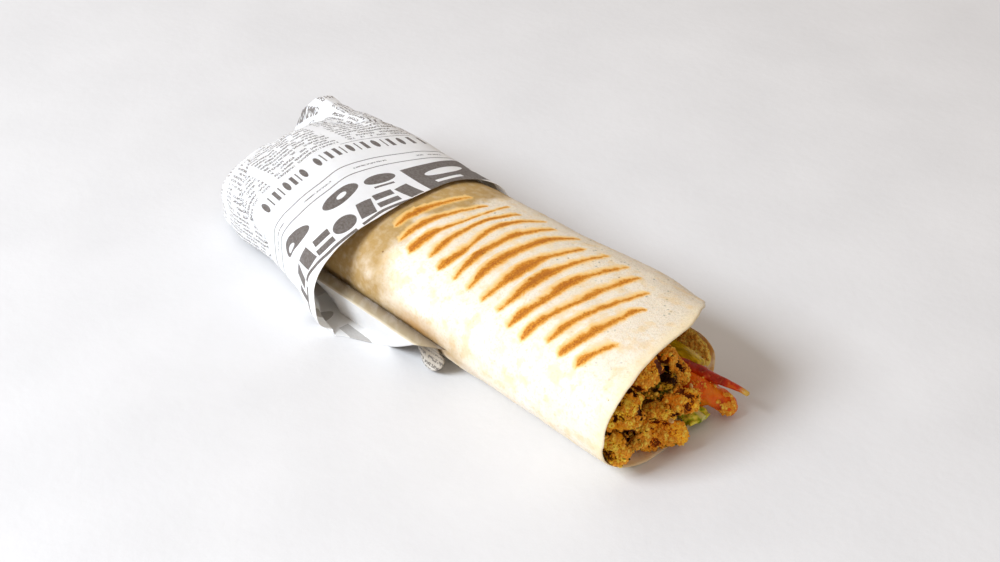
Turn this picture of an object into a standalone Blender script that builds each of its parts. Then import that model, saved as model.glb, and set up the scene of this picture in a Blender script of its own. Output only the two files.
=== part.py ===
"""A falafel wrap lying in its printed paper sleeve.

The roll lies along X, its open end towards +X, its far side towards +Y, on the plane Z = 0.
Sizes are in millimetres and turn into metres when a mesh is made. The tortilla and the paper
are sheets with two skins; the fillings are lofts that run through the roll, and the broken
falafel at the open end are lumps that share out the mouth between them.
"""

import math

import bmesh
import bpy
import numpy as np

MM = 0.001

# Clearance between neighbours, so that no two solids touch; the fillings keep more from the
# sheet round them, because its flats cut the corners of the curve.
GAP = 0.35
FILL_GAP = 0.9
HUG_GAP = 0.8

# Tortilla: a round flatbread rolled about 1.2 turns.
ROLL_Y = 1.0
ROLL_DRIFT = 0.012
HALF_WIDTH = 37.0
WIDTH_GROWTH = 0.02
FLAP_BULGE = 1.2
FLAP_BULGE_X = (55.0, 45.0)
FLAP_DRAW_IN = 2.6
FLAP_DRAW_IN_X = (60.0, 82.0)
FLAP_FADES = (20.0, 95.0)
HEIGHT = 40.5
HEIGHT_GROWTH = 0.03
SHEET = 2.2
TOP_SQUARENESS = 2.6
BOTTOM_SQUARENESS = 2.3
BOTTOM_PRESS = 1.2
SHOULDER_X = -74.0
TAIL_POLE_X = -106.0
TAIL_X = -103.0
PAPER_LIFT = 1.0
LIFT_FROM_X = -7.0
LIFT_FULL_X = -15.0

# Turn angles in degrees: 0 far side, 90 top, 180 near side, 270 floor, then inside the roll.
FLAP_TURN = 17.0
TUCK_FROM = 300.0
TUCK_FULL = 352.0
INNER_TURN = 446.0
TORTILLA_GRID = (42, 18)
ROW_BUNCHING = 0.12

# The lower sheet opens out at the mouth: its far foot spreads and the inner turn leans in.
FOOT_SPREAD = 9.0
FOOT_TURN = 318.0
FOOT_REACH = 46.0
LEAN_IN = 12.0
LEAN_TURN = 388.0
LEAN_REACH = 50.0
OPENS_FROM_X = 36.0
OPENS_FULL_X = 84.0

# How far the open rim reaches along X at a few turn angles.
RIM_TURNS = (17.0, 45.0, 75.0, 100.0, 150.0, 215.0, 265.0, 318.0, 352.0, 446.0)
RIM_REACH = (78.5, 88.0, 94.5, 98.0, 101.5, 98.5, 97.5, 83.0, 79.0, 78.0)

# Paper sleeve: one sheet wrapped once round, its two ends overlapping on the near side.
PAPER = 0.5
PAPER_NEAR_SQUARENESS = 2.15
PAPER_FAR_SQUARENESS = 2.75
PAPER_BOTTOM_SQUARENESS = 3.4
SLEEVE_X = (-129.0, -121.0, -110.0, -98.0, -87.0, -58.0, -33.0, -18.0)
SLEEVE_FAR = (17.0, 27.0, 33.5, 37.0, 38.6, 39.2, 39.4, 39.6)
SLEEVE_NEAR = (25.0, 32.0, 37.0, 39.5, 38.8, 44.0, 52.0, 53.5)
SLEEVE_TOP = (41.0, 41.2, 41.6, 42.0, 42.4, 42.0, 41.4, 41.8)
END_SHOULDER_X = -95.0
END_POLE_X = -129.2
END_FLAT = 0.09

# The wrapped length runs from 0 to 1: it hugs the roll, leaves it, loops and folds up.
HUG_FROM = 191.0
LEAVES_FROM = 285.0
LEAVES_TO = 345.0
WRAP_TO = 588.0
WRAP_SHARE = 0.85
STEP = 0.004
LOOP_FOOT_SHARE = 0.2
WALL_FOOT_SHARE = 0.5
LOOP_FOOT_IN = (10.0, 6.0)
LOOP_OPENS_X = (-60.0, -36.0)
WALL_FOOT_Y = -35.5
WALL_FOOT_IN = 15.0
RIDGE_Y = -40.0
RIDGE_IN = 3.0
RIDGE_Z = 14.0
PAPER_RIM_AT = (0.0, 0.045, 0.07, 0.115, 0.30, 0.42, 0.47, 0.52, 0.80, 0.85, 0.88, 0.925, 1.0)
PAPER_RIM_X = (18.0, 17.5, 12.0, -14.0, -14.0, -19.0, -29.0, -33.0,
               -33.0, -31.5, -29.5, -11.0, 9.0)
OVERLAP_FROM_X = -54.0
SEAM_SHARE = 0.1
PAPER_ROWS = (9, 10)
PAPER_COLUMNS = (5, 37, 9)
HUGS_FROM_X = (-94.0, -74.0)
CURL_TURN = 228.0
CURL_REACH = 22.0
CURL_OUT = 8.0
CURL_DROP = 0.7
CURL_FROM_X = (-6.0, 10.0)

# An ear of paper stands out of the closed end at its far top shoulder.
EAR_TURN = 417.0
EAR_REACH = 15.5
EAR_FROM_X = -100.0
EAR_TIP_X = -121.0
EAR_RISE = 2.5

# Fillings: falafel takes the near side of this slanting border, the salads the far side.
BORDER_Y = 8.5
BORDER_SLOPE = 0.35
FILL_TAIL_X = -78.0
CORE_FRONT_X = 78.0
CORE_FRONT_SLOPE = 0.3
SHELF_Z = 24.0
HUB_Z = 27.0

# Salad layers on the far side: floor and top heights deep inside and near the mouth, then
# the free tip as rows of place along X, middle Y, middle Z, half width and half thickness.
LETTUCE = ((4.4, 3.3), (7.6, 6.6))
LETTUCE_TIP = ((84.0, 17.0, 4.6, 7.5, 1.4), (93.0, 16.0, 4.2, 6.5, 1.2), (100.5, 15.0, 3.0, 5.5, 0.9))
TOMATO = ((8.0, 7.4), (17.0, 13.8))
TOMATO_TIP = ((82.0, 22.0, 11.5, 6.5, 3.0), (92.0, 21.5, 10.6, 6.0, 3.0),
              (98.0, 23.5, 8.6, 5.6, 2.8), (103.5, 23.8, 6.0, 3.0, 1.8))
PICKLE = ((17.4, 19.8), (23.6, 23.6))
PICKLE_TIP = ((76.0, 21.8, 21.6, 4.6, 1.8), (81.0, 22.6, 20.9, 4.4, 1.7), (86.5, 25.0, 19.4, 3.0, 1.4))
STRIP = ((68.0, 20.0, 16.8, 2.4, 1.5), (82.0, 20.5, 16.9, 2.4, 1.5), (94.0, 24.8, 14.6, 1.9, 1.4),
         (108.5, 27.8, 12.0, 0.9, 0.8))

# Broken falafel at the mouth: centre and half sizes.
CHUNKS = {
    "golden_upper": ((92.0, -22.5, 29.0), (10.0, 14.0, 12.0)),
    "golden_lower": ((90.0, -24.0, 12.5), (11.0, 16.0, 14.0)),
    "golden_small": ((97.0, -14.5, 11.5), (6.0, 7.0, 7.0)),
    "orange_slab": ((94.5, -4.0, 9.0), (9.0, 14.0, 9.5)),
    "golden_middle": ((92.0, -2.0, 19.0), (9.5, 16.0, 7.0)),
    "herb_layer": ((88.0, -4.0, 26.0), (9.0, 17.0, 6.0)),
    "orange_upper": ((88.0, -7.5, 34.0), (8.0, 12.0, 7.0)),
    "brown_upper": ((86.5, 7.0, 27.5), (8.0, 10.5, 8.5)),
}
CHUNK_RINGS = 8
CHUNK_SIDES = 12
CHUNK_ROUGH = 0.06
CHUNK_CLEAR = 0.5


def rise(x, low, high):
    """Goes from 0 at low to 1 at high with level ends."""
    t = np.clip((np.asarray(x, float) - low) / (high - low), 0.0, 1.0)
    return t * t * (3.0 - 2.0 * t)


def hump(x, centre, reach):
    """A raised cosine: 1 at the centre, 0 at a reach to either side."""
    t = np.clip(np.abs(np.asarray(x, float) - centre) / reach, 0.0, 1.0)
    return 0.5 + 0.5 * np.cos(np.pi * t)


def eased(x, places, values):
    """Joins a few values smoothly, with a level run into each one that is a peak or a dip."""
    places = np.asarray(places, float)
    values = np.asarray(values, float)
    steps = np.diff(places)
    slopes = np.diff(values) / steps
    inner = np.where(slopes[1:] * slopes[:-1] > 0.0,
                     2.0 * slopes[1:] * slopes[:-1] / (slopes[1:] + slopes[:-1] + 1e-12), 0.0)
    ends = np.concatenate([slopes[:1], inner, slopes[-1:]])
    k = np.clip(np.searchsorted(places, x, side="right") - 1, 0, len(steps) - 1)
    t = np.clip((x - places[k]) / steps[k], 0.0, 1.0)
    value = (1 + 2 * t) * (1 - t) ** 2 * values[k] + t * t * (3 - 2 * t) * values[k + 1]
    return value + steps[k] * t * (1 - t) * ((1 - t) * ends[k] - t * ends[k + 1])


def closing(x):
    """Shrinks the roll to a rounded closed tail, as a quarter ellipse along X."""
    t = np.clip((SHOULDER_X - np.asarray(x, float)) / (SHOULDER_X - TAIL_POLE_X), 0.0, 0.999)
    return np.sqrt(1.0 - t * t)


def roll_section(turn, x, inset):
    """Point (y, z) of the roll at a turn angle: a superellipse drawn in by an inset.

    The floor side is pressed flat, and at the mouth the far foot spreads and the
    inner turn leans in.
    """
    angle = np.radians(turn)
    shrink = closing(x)
    half = (HALF_WIDTH + WIDTH_GROWTH * x) * shrink - inset
    middle = (HEIGHT + HEIGHT_GROWTH * x) / 2.0
    side, level = np.cos(angle), np.sin(angle)
    power = 2.0 / np.where(level > 0.0, TOP_SQUARENESS, BOTTOM_SQUARENESS)
    y = ROLL_Y + ROLL_DRIFT * x + half * np.sign(side) * np.abs(side) ** power
    reach = middle * shrink - inset + np.where(level > 0.0, 0.0, BOTTOM_PRESS)
    z = middle + reach * np.sign(level) * np.abs(level) ** power
    lift = PAPER_LIFT * (1.0 - rise(x, LIFT_FULL_X, LIFT_FROM_X))
    flap = 1.0 - rise(turn, *FLAP_FADES)
    y = y + flap * FLAP_BULGE * hump(x, *FLAP_BULGE_X)
    y = y - flap * FLAP_DRAW_IN * rise(x, *FLAP_DRAW_IN_X)
    opening = rise(x, OPENS_FROM_X, OPENS_FULL_X)
    y = y + FOOT_SPREAD * opening * hump(turn, FOOT_TURN, FOOT_REACH)
    y = y - LEAN_IN * opening * hump(turn, LEAN_TURN, LEAN_REACH)
    return y, np.maximum(z, lift + inset)


def tuck(turn):
    """How far a turn of the sheet lies inside the outer skin."""
    return (SHEET + GAP) * rise(turn, TUCK_FROM, TUCK_FULL)


def tortilla_skins(columns, rows):
    """Outer and inner skins of the rolled flatbread as (row, column, xyz) grids."""
    turn = np.linspace(FLAP_TURN, INNER_TURN, columns)[None, :]
    rim = eased(turn, RIM_TURNS, RIM_REACH)
    share = np.linspace(0.0, 1.0, rows)[:, None]
    share = share + ROW_BUNCHING * np.sin(2.0 * np.pi * share) / (2.0 * np.pi)
    x = TAIL_X + (rim - TAIL_X) * share
    skins = []
    for depth in (0.0, SHEET):
        y, z = roll_section(turn + 0.0 * x, x, tuck(turn) + depth * closing(x))
        skins.append(np.stack([x, y, z], axis=-1))
    return skins


def sleeve_size(x):
    """Far reach, near reach and height of the paper sleeve at a place along X."""
    shape = (SLEEVE_FAR, SLEEVE_NEAR, SLEEVE_TOP)
    return [eased(x, SLEEVE_X, values) for values in shape]


def end_closing(x):
    """Lowers the sleeve to its flat tucked end, as a quarter ellipse along X."""
    t = np.clip((END_SHOULDER_X - x) / (END_SHOULDER_X - END_POLE_X), 0.0, 1.0)
    return np.maximum(np.sqrt(1.0 - t * t), END_FLAT)


def paper_path(part, x):
    """Middle of the paper at a part of its wrapped length, 0 to 1, as (y, z).

    It hugs the roll down the near side and along the floor, leaves it to go up the far side
    and over the top, stands off as a loop on the near side, meets the floor, and turns up as
    a low wall that ends in a ridge against the roll.
    """
    turn = HUG_FROM + (WRAP_TO - HUG_FROM) * np.clip(part / WRAP_SHARE, 0.0, 1.0)
    ear = hump(turn, EAR_TURN, EAR_REACH)
    shape_x = np.where(x < EAR_FROM_X, x + ear * (EAR_FROM_X - x), x)
    far, near, top = sleeve_size(shape_x)
    top = top * end_closing(shape_x)
    hug_y, hug_z = roll_section(turn % 360.0, np.minimum(x, OPENS_FROM_X), -HUG_GAP - PAPER / 2.0)
    curl = hump(turn, CURL_TURN, CURL_REACH) * rise(x, *CURL_FROM_X)
    hug_y, hug_z = hug_y - CURL_OUT * curl, hug_z * (1.0 - CURL_DROP * curl)
    angle = np.radians(turn)
    side, level = np.cos(angle), np.sin(angle)
    upper = np.where(side > 0.0, PAPER_FAR_SQUARENESS, PAPER_NEAR_SQUARENESS)
    power = 2.0 / np.where(level > 0.0, upper, PAPER_BOTTOM_SQUARENESS)
    loop_y = (far - near) / 2.0 + (far + near) / 2.0 * np.sign(side) * np.abs(side) ** power
    loop_z = top / 2.0 * (1.0 + np.sign(level) * np.abs(level) ** power)
    away = np.maximum(rise(turn, LEAVES_FROM, LEAVES_TO), 1.0 - rise(x, *HUGS_FROM_X))
    y = hug_y + (loop_y - hug_y) * away
    z = hug_z + (loop_z - hug_z) * away
    z = z + EAR_RISE * ear * (1.0 - rise(x, EAR_FROM_X, HUGS_FROM_X[1]))
    fold = np.clip((part - WRAP_SHARE) / (1.0 - WRAP_SHARE), 0.0, 1.0)
    shares = (0.0, LOOP_FOOT_SHARE, WALL_FOOT_SHARE, 1.0)
    to_foot, to_wall, to_ridge = [np.clip((fold - low) / (high - low), 0.0, 1.0)
                                  for low, high in zip(shares[:-1], shares[1:])]
    loop_in = LOOP_FOOT_IN[0] + (LOOP_FOOT_IN[1] - LOOP_FOOT_IN[0]) * rise(x, *LOOP_OPENS_X)
    loop_foot = loop_in - near
    wall_foot = np.maximum(WALL_FOOT_Y, WALL_FOOT_IN - near)
    ridge = np.maximum(RIDGE_Y, RIDGE_IN - near)
    y = y + (loop_foot - y) * to_foot + (wall_foot - loop_foot) * to_wall
    y = y + (ridge - wall_foot) * to_ridge
    z = z * (1.0 - to_foot) + RIDGE_Z * to_ridge
    return y, np.maximum(z, PAPER / 2.0)


def sheet_solid(name, outer, inner, material, kept=None):
    """Closes two skins of a sheet into one solid, with a strip along every free edge.

    The quads that are not kept are left out of both skins.
    """
    rows, columns = outer.shape[:2]
    index = np.arange(rows * columns).reshape(rows, columns)
    shift = rows * columns
    kept = np.ones((rows - 1, columns - 1), bool) if kept is None else kept
    slant = (np.linalg.norm(outer[:-1, :-1] - outer[1:, 1:], axis=-1)
             < np.linalg.norm(outer[1:, :-1] - outer[:-1, 1:], axis=-1))
    corners = np.stack([index[:-1, :-1], index[1:, :-1], index[1:, 1:], index[:-1, 1:]], axis=-1)
    skin = np.concatenate([corners[kept & slant][:, (0, 1, 2)], corners[kept & slant][:, (0, 2, 3)],
                           corners[kept & ~slant][:, (1, 2, 3)], corners[kept & ~slant][:, (1, 3, 0)]])
    edges = np.concatenate([skin[:, (0, 1)], skin[:, (1, 2)], skin[:, (2, 0)]]).tolist()
    paired = {(end, start) for start, end in edges}
    faces = skin.tolist() + (skin[:, ::-1] + shift).tolist()
    faces += [[end, start, start + shift, end + shift] for start, end in edges
              if (start, end) not in paired]
    points = np.concatenate([outer.reshape(-1, 3), inner.reshape(-1, 3)]) * MM
    used = np.unique(np.concatenate([np.ravel(face) for face in faces]))
    renumbered = {int(old): new for new, old in enumerate(used)}
    faces = [[renumbered[int(corner)] for corner in face] for face in faces]
    return make_object(name, points[used], faces, material)


def loft_solid(name, rings, material, hubs=None):
    """Closes a row of rings into one solid, each end fanned to its hub or its middle point."""
    count, sides = rings.shape[:2]
    hubs = rings[[0, -1]].mean(axis=1) if hubs is None else hubs
    points = [rings.reshape(-1, 3), hubs]
    index = np.arange(count * sides).reshape(count, sides)
    turned = np.roll(index, -1, axis=1)
    faces = np.stack([index[:-1], turned[:-1], turned[1:], index[1:]], axis=-1)
    faces = faces.reshape(-1, 4).tolist()
    first, last = count * sides, count * sides + 1
    faces += [[first, turned[0, k], index[0, k]] for k in range(sides)]
    faces += [[last, index[-1, k], turned[-1, k]] for k in range(sides)]
    return make_object(name, np.concatenate(points) * MM, faces, material)


def make_object(name, points, faces, material):
    """Makes a mesh object with its faces turned outwards."""
    mesh = bpy.data.meshes.new(name)
    mesh.from_pydata(points.tolist(), [], faces)
    cleaned = bmesh.new()
    cleaned.from_mesh(mesh)
    bmesh.ops.remove_doubles(cleaned, verts=cleaned.verts, dist=1e-6)
    bmesh.ops.triangulate(cleaned, faces=cleaned.faces)
    bmesh.ops.recalc_face_normals(cleaned, faces=cleaned.faces)
    cleaned.to_mesh(mesh)
    cleaned.free()
    mesh.materials.append(material)
    piece = bpy.data.objects.new(name, mesh)
    bpy.context.scene.collection.objects.link(piece)
    return piece


def finish(name, colour, roughness):
    """A plain food or paper finish: colour, roughness and no metal."""
    material = bpy.data.materials.new(name)
    material.use_nodes = True
    shader = material.node_tree.nodes["Principled BSDF"]
    shader.inputs["Base Color"].default_value = (*colour, 1.0)
    shader.inputs["Roughness"].default_value = roughness
    shader.inputs["Metallic"].default_value = 0.0
    return material


def make_tortilla():
    """The rolled flatbread, one sheet from its outer flap to its inner edge."""
    outer, inner = tortilla_skins(*TORTILLA_GRID)
    return sheet_solid("tortilla", outer, inner, finish("flatbread", (0.84, 0.76, 0.60), 0.7))


def paper_skins():
    """Two skins of the paper, set off to either side of its middle along the normals.

    The rows run from the closed end to the place where the two ends of the sheet begin to
    overlap, and from there to the rim. Also tells which quads are paper: at the closed end
    the sheet goes just once round.
    """
    stretches = ((0.0, SEAM_SHARE), (SEAM_SHARE, WRAP_SHARE), (WRAP_SHARE, 1.0))
    part = np.unique(np.concatenate([np.linspace(*stretch, count)
                                     for stretch, count in zip(stretches, PAPER_COLUMNS)]))[None, :]
    rim = eased(part, PAPER_RIM_AT, PAPER_RIM_X)
    turn = HUG_FROM + (WRAP_TO - HUG_FROM) * part / WRAP_SHARE
    tail = SLEEVE_X[0] + (EAR_TIP_X - SLEEVE_X[0]) * hump(turn, EAR_TURN, EAR_REACH)
    rounding = 1.0 - np.cos(np.linspace(0.0, math.pi / 2.0, PAPER_ROWS[0]))[:, None]
    onward = np.linspace(0.0, 1.0, PAPER_ROWS[1])[1:, None]
    x = np.concatenate([tail + (OVERLAP_FROM_X - tail) * rounding,
                        OVERLAP_FROM_X + (rim - OVERLAP_FROM_X) * onward])
    part = part + 0.0 * x
    middle = np.stack([x, *paper_path(part, x)], axis=-1)
    across = np.stack([0.0 * x, *np.subtract(paper_path(np.minimum(part + STEP, 1.0), x),
                                             paper_path(np.maximum(part - STEP, 0.0), x))], axis=-1)
    along = np.stack([0.0 * x + 1.0, *np.subtract(paper_path(part, x + 0.5),
                                                  paper_path(part, x - 0.5))], axis=-1)
    normal = np.cross(across, along)
    normal /= np.linalg.norm(normal, axis=-1, keepdims=True) + 1e-9
    skins = [middle + normal * PAPER / 2.0, middle - normal * PAPER / 2.0]
    for skin in skins:
        skin[..., 2] = np.maximum(skin[..., 2], 0.0)
    between = (part[:-1, :-1] + part[:-1, 1:]) / 2.0
    once = (between > SEAM_SHARE) & (between < WRAP_SHARE)
    beyond = np.arange(len(between))[:, None] >= PAPER_ROWS[0] - 1
    return skins[0], skins[1], once | beyond


def make_sleeve():
    """The paper sleeve, one sheet with its loop, its tail and its low wall."""
    outer, inner, kept = paper_skins()
    newsprint = finish("newsprint", (0.90, 0.89, 0.86), 0.6)
    return sheet_solid("paper_sleeve", outer, inner, newsprint, kept)


def inner_wall(turn, x, clear):
    """The roll's inside surface over one full turn, kept a clearance away."""
    start = INNER_TURN - 360.0
    inside = np.where(turn < start, turn + 360.0, turn)
    seam = (SHEET + GAP) * (1.0 - rise(turn, start + 12.0, start + 42.0)) * (turn < 180.0)
    return roll_section(inside, x, np.maximum(tuck(inside), seam) + SHEET + clear)


def far_wall_y(z, x):
    """How far the inside of the roll reaches on its far side at a height."""
    turn = np.linspace(-72.0, 60.0, 67)
    wall_y, wall_z = inner_wall(turn % 360.0, x, FILL_GAP)
    order = np.argsort(wall_z)
    return np.interp(z, wall_z[order], wall_y[order])


def border_y(z):
    """The slanting border between the falafel and the salads."""
    return BORDER_Y + BORDER_SLOPE * z


def falafel_ring(x, slant):
    """Section of the falafel: round the inside of the roll, down the border, out on the shelf.

    The section leans back by a slant for each unit of Y, as the open end does.
    """
    probe = np.linspace(0.0, 70.0, 71)
    probe_y, probe_z = inner_wall(probe, x, FILL_GAP)
    start = np.interp(SHELF_Z, probe_z, probe)
    probe = np.linspace(250.0, 330.0, 81)
    probe_y, probe_z = inner_wall(probe, x, FILL_GAP)
    stop = np.interp(0.0, probe_y - border_y(probe_z), probe)
    turn = np.linspace(start, stop, 26)
    first_y, _ = inner_wall(turn, x, FILL_GAP)
    wall_y, wall_z = inner_wall(turn, x - slant * first_y, FILL_GAP)
    climb = np.linspace(wall_z[-1], SHELF_Z, 4)[1:]
    border = border_y(climb)
    shelf_y = (border[-1] + wall_y[0]) / 2.0
    y = np.concatenate([wall_y, border, [shelf_y]])
    z = np.concatenate([wall_z, climb, [SHELF_Z]])
    return np.stack([x - slant * y, y, z], axis=-1)


def make_falafel_core():
    """The mashed falafel that runs through the roll from tail to mouth."""
    rings = []
    for share in np.linspace(0.0, 1.0, 10):
        x = FILL_TAIL_X + (CORE_FRONT_X - FILL_TAIL_X) * share
        rings.append(falafel_ring(x, CORE_FRONT_SLOPE * rise(share, 0.8, 1.0)))
    hubs = np.array([[FILL_TAIL_X, 0.0, HUB_Z], [CORE_FRONT_X, 0.0, HUB_Z]])
    mash = finish("falafel", (0.35, 0.2, 0.05), 0.8)
    return loft_solid("falafel_filling", np.array(rings), mash, hubs)


def salad_ring(x, low, high, oval, free):
    """Section of a salad layer: a slab from the border to the far wall that turns to an oval."""
    heights = np.linspace(low, high, 4)
    slab_y = np.concatenate([border_y(heights) + GAP, far_wall_y(heights, x)[::-1]])
    slab_z = np.concatenate([heights, heights[::-1]])
    centre_y, centre_z, half_y, half_z = oval
    angle = np.radians([232.0, 200.0, 160.0, 128.0, 52.0, 20.0, -20.0, -52.0])
    oval_y = centre_y + half_y * np.cos(angle)
    oval_z = centre_z + half_z * np.sin(angle)
    return slab_y + (oval_y - slab_y) * free, slab_z + (oval_z - slab_z) * free


def make_salad(name, layer, tip, material):
    """A salad layer that runs through the roll and comes out of the mouth as a free tip."""
    tip_x = [row[0] for row in tip]
    free_from, free_to = tip_x[0] - 16.0, tip_x[0]
    stations = np.concatenate([np.linspace(FILL_TAIL_X, free_from, 11),
                               np.linspace(free_from, tip_x[-1], 12)[1:]])
    rings = []
    for x in stations:
        open_share = rise(x, 40.0, 60.0)
        low = layer[0][0] + (layer[0][1] - layer[0][0]) * open_share
        high = layer[1][0] + (layer[1][1] - layer[1][0]) * open_share
        oval = [eased(x, tip_x, [row[k] for row in tip]) for k in (1, 2, 3, 4)]
        y, z = salad_ring(x, low, high, oval, rise(x, free_from, free_to))
        rings.append(np.stack([np.full(len(y), x), y, z], axis=-1))
    return loft_solid(name, np.array(rings), material)


def make_tomato_strip():
    """A thin strip of tomato with its skin that sticks out of the mouth."""
    x = np.linspace(STRIP[0][0], STRIP[-1][0], 16)
    places = [row[0] for row in STRIP]
    centre_y, centre_z, half_y, half_z = [eased(x, places, [row[k] for row in STRIP])
                                          for k in (1, 2, 3, 4)]
    angle = np.radians(np.arange(8) * 45.0 + 22.5)
    y = centre_y[:, None] + half_y[:, None] * np.cos(angle)
    z = centre_z[:, None] + half_z[:, None] * np.sin(angle)
    rings = np.stack([x[:, None] + 0.0 * y, y, z], axis=-1)
    return loft_solid("tomato_strip", rings, finish("tomato_skin", (0.5, 0.05, 0.02), 0.25))


def wall_limit(points):
    """True where a point lies inside the roll, measured round the roll's middle."""
    middle_z = HEIGHT / 2.0
    bearing = np.arctan2(points[..., 2] - middle_z, points[..., 1])
    reach = np.hypot(points[..., 1], points[..., 2] - middle_z)
    inside = np.zeros(reach.shape, bool)
    stations = np.arange(60.0, 112.0, 2.0)
    nearest = np.clip(np.round((points[..., 0] - 60.0) / 2.0).astype(int), 0, len(stations) - 1)
    turn = np.linspace(0.0, 360.0, 181)[:-1]
    for k, x in enumerate(stations):
        wall_y, wall_z = inner_wall(turn, min(x, OPENS_FULL_X), GAP + CHUNK_CLEAR)
        wall_bearing = np.arctan2(wall_z - middle_z, wall_y)
        order = np.argsort(wall_bearing)
        limit = np.interp(bearing, wall_bearing[order], np.hypot(wall_y, wall_z - middle_z)[order],
                          period=2.0 * math.pi)
        inside |= (nearest == k) & (reach < limit)
    return inside


def chunk_limits(name):
    """Planes (normal, offset) that keep a chunk apart from its neighbours and the filling."""
    centre, half = (np.array(value) for value in CHUNKS[name])
    planes = []
    for other, (other_centre, other_half) in CHUNKS.items():
        if other == name:
            continue
        gap = np.array(other_centre) - centre
        far = np.linalg.norm(gap)
        way = gap / far
        own = 1.0 / np.linalg.norm(way / half)
        theirs = 1.0 / np.linalg.norm(way / np.array(other_half))
        planes.append((way, centre @ way + far * own / (own + theirs) - GAP / 2.0))
    back = np.array([-1.0, -CORE_FRONT_SLOPE, 0.0])
    planes.append((back, -CORE_FRONT_X - GAP - 0.1))
    border = np.array([0.0, 1.0, -BORDER_SLOPE])
    planes.append((border, BORDER_Y - GAP / 2.0))
    return centre, half, planes


def make_chunk(name, material):
    """A broken lump of falafel: an uneven ball cut back to its share of the mouth."""
    centre, half, planes = chunk_limits(name)
    polar = np.linspace(0.0, math.pi, CHUNK_RINGS + 2)[1:-1, None]
    around = np.linspace(0.0, 2.0 * math.pi, CHUNK_SIDES, endpoint=False)[None, :]
    way = np.stack([np.cos(polar) + 0.0 * around, np.sin(polar) * np.cos(around),
                    np.sin(polar) * np.sin(around)], axis=-1)
    reach = 1.0 / np.linalg.norm(way / half, axis=-1)
    phase = sum(centre)
    reach = reach * (1.0 + CHUNK_ROUGH * np.sin(3.0 * around + phase) * np.sin(4.0 * polar + phase))
    for normal, offset in planes:
        slope = way @ normal
        room = offset - centre @ normal
        reach = np.where(slope > 1e-6, np.minimum(reach, room / np.maximum(slope, 1e-6)), reach)
    for _ in range(60):
        outside = ~wall_limit(centre + way * reach[..., None])
        reach = np.where(outside, reach * 0.97, reach)
    return loft_solid("falafel_" + name, centre + way * reach[..., None], material)


def clear_scene():
    """Removes everything that the file opens with."""
    for piece in list(bpy.data.objects):
        bpy.data.objects.remove(piece, do_unlink=True)


def main():
    """Makes every piece."""
    clear_scene()
    make_tortilla()
    make_sleeve()
    make_falafel_core()
    crumb = finish("falafel_crumb", (0.60, 0.32, 0.05), 0.85)
    for name in CHUNKS:
        make_chunk(name, crumb)
    make_salad("lettuce_leaf", LETTUCE, LETTUCE_TIP, finish("lettuce", (0.3, 0.45, 0.1), 0.5))
    make_salad("tomato_wedge", TOMATO, TOMATO_TIP, finish("tomato_flesh", (0.6, 0.09, 0.03), 0.3))
    make_salad("pickle_slice", PICKLE, PICKLE_TIP, finish("pickle", (0.2, 0.18, 0.03), 0.3))
    make_tomato_strip()


main()
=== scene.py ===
"""A falafel wrap in its printed paper sleeve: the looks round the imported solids.

The roll lies along X with its open end towards +X and its far side towards +Y, on Z = 0.
Shapes are worked out in millimetres and turn into metres when a mesh is made.
"""

import math

import bpy
import numpy as np
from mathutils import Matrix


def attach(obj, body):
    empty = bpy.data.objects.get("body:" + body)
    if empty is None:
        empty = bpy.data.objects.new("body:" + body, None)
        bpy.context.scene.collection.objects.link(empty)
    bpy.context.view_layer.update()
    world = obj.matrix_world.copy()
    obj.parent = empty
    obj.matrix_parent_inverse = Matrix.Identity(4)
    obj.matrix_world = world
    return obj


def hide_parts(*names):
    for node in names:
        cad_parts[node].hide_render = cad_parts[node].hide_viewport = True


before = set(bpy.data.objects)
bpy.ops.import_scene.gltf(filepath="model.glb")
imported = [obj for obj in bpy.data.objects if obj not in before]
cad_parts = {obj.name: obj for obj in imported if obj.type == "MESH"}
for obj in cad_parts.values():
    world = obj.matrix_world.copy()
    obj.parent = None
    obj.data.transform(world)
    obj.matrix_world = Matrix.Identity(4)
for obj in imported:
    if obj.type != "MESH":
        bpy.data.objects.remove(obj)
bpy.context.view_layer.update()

MM = 0.001

# Clearances, as between the solids.
GAP = 0.35
FILL_GAP = 0.9
HUG_GAP = 0.8

# Flatbread roll: its section, its growth towards the mouth and its closed tail.
ROLL_Y = 1.0
ROLL_DRIFT = 0.012
HALF_WIDTH = 37.0
WIDTH_GROWTH = 0.02
FLAP_BULGE = 1.2
FLAP_BULGE_X = (55.0, 45.0)
FLAP_DRAW_IN = 2.6
FLAP_DRAW_IN_X = (60.0, 82.0)
FLAP_FADES = (20.0, 95.0)
HEIGHT = 40.5
HEIGHT_GROWTH = 0.03
SHEET = 2.2
TOP_SQUARENESS = 2.6
BOTTOM_SQUARENESS = 2.3
BOTTOM_PRESS = 1.2
SHOULDER_X = -74.0
TAIL_POLE_X = -106.0
TAIL_X = -103.0
PAPER_LIFT = 1.0
LIFT_FROM_X = -7.0
LIFT_FULL_X = -15.0

# Turn angles in degrees: 0 far side, 90 top, 180 near side, 270 floor, then inside the roll.
FLAP_TURN = 17.0
TUCK_FROM = 300.0
TUCK_FULL = 352.0
INNER_TURN = 446.0
FOOT_SPREAD = 9.0
FOOT_TURN = 318.0
FOOT_REACH = 46.0
LEAN_IN = 12.0
LEAN_TURN = 388.0
LEAN_REACH = 50.0
OPENS_FROM_X = 36.0
OPENS_FULL_X = 84.0
RIM_TURNS = (17.0, 45.0, 75.0, 100.0, 150.0, 215.0, 265.0, 318.0, 352.0, 446.0)
RIM_REACH = (76.0, 84.5, 92.5, 97.0, 100.8, 99.0, 99.4, 82.5, 75.0, 76.0)

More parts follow.
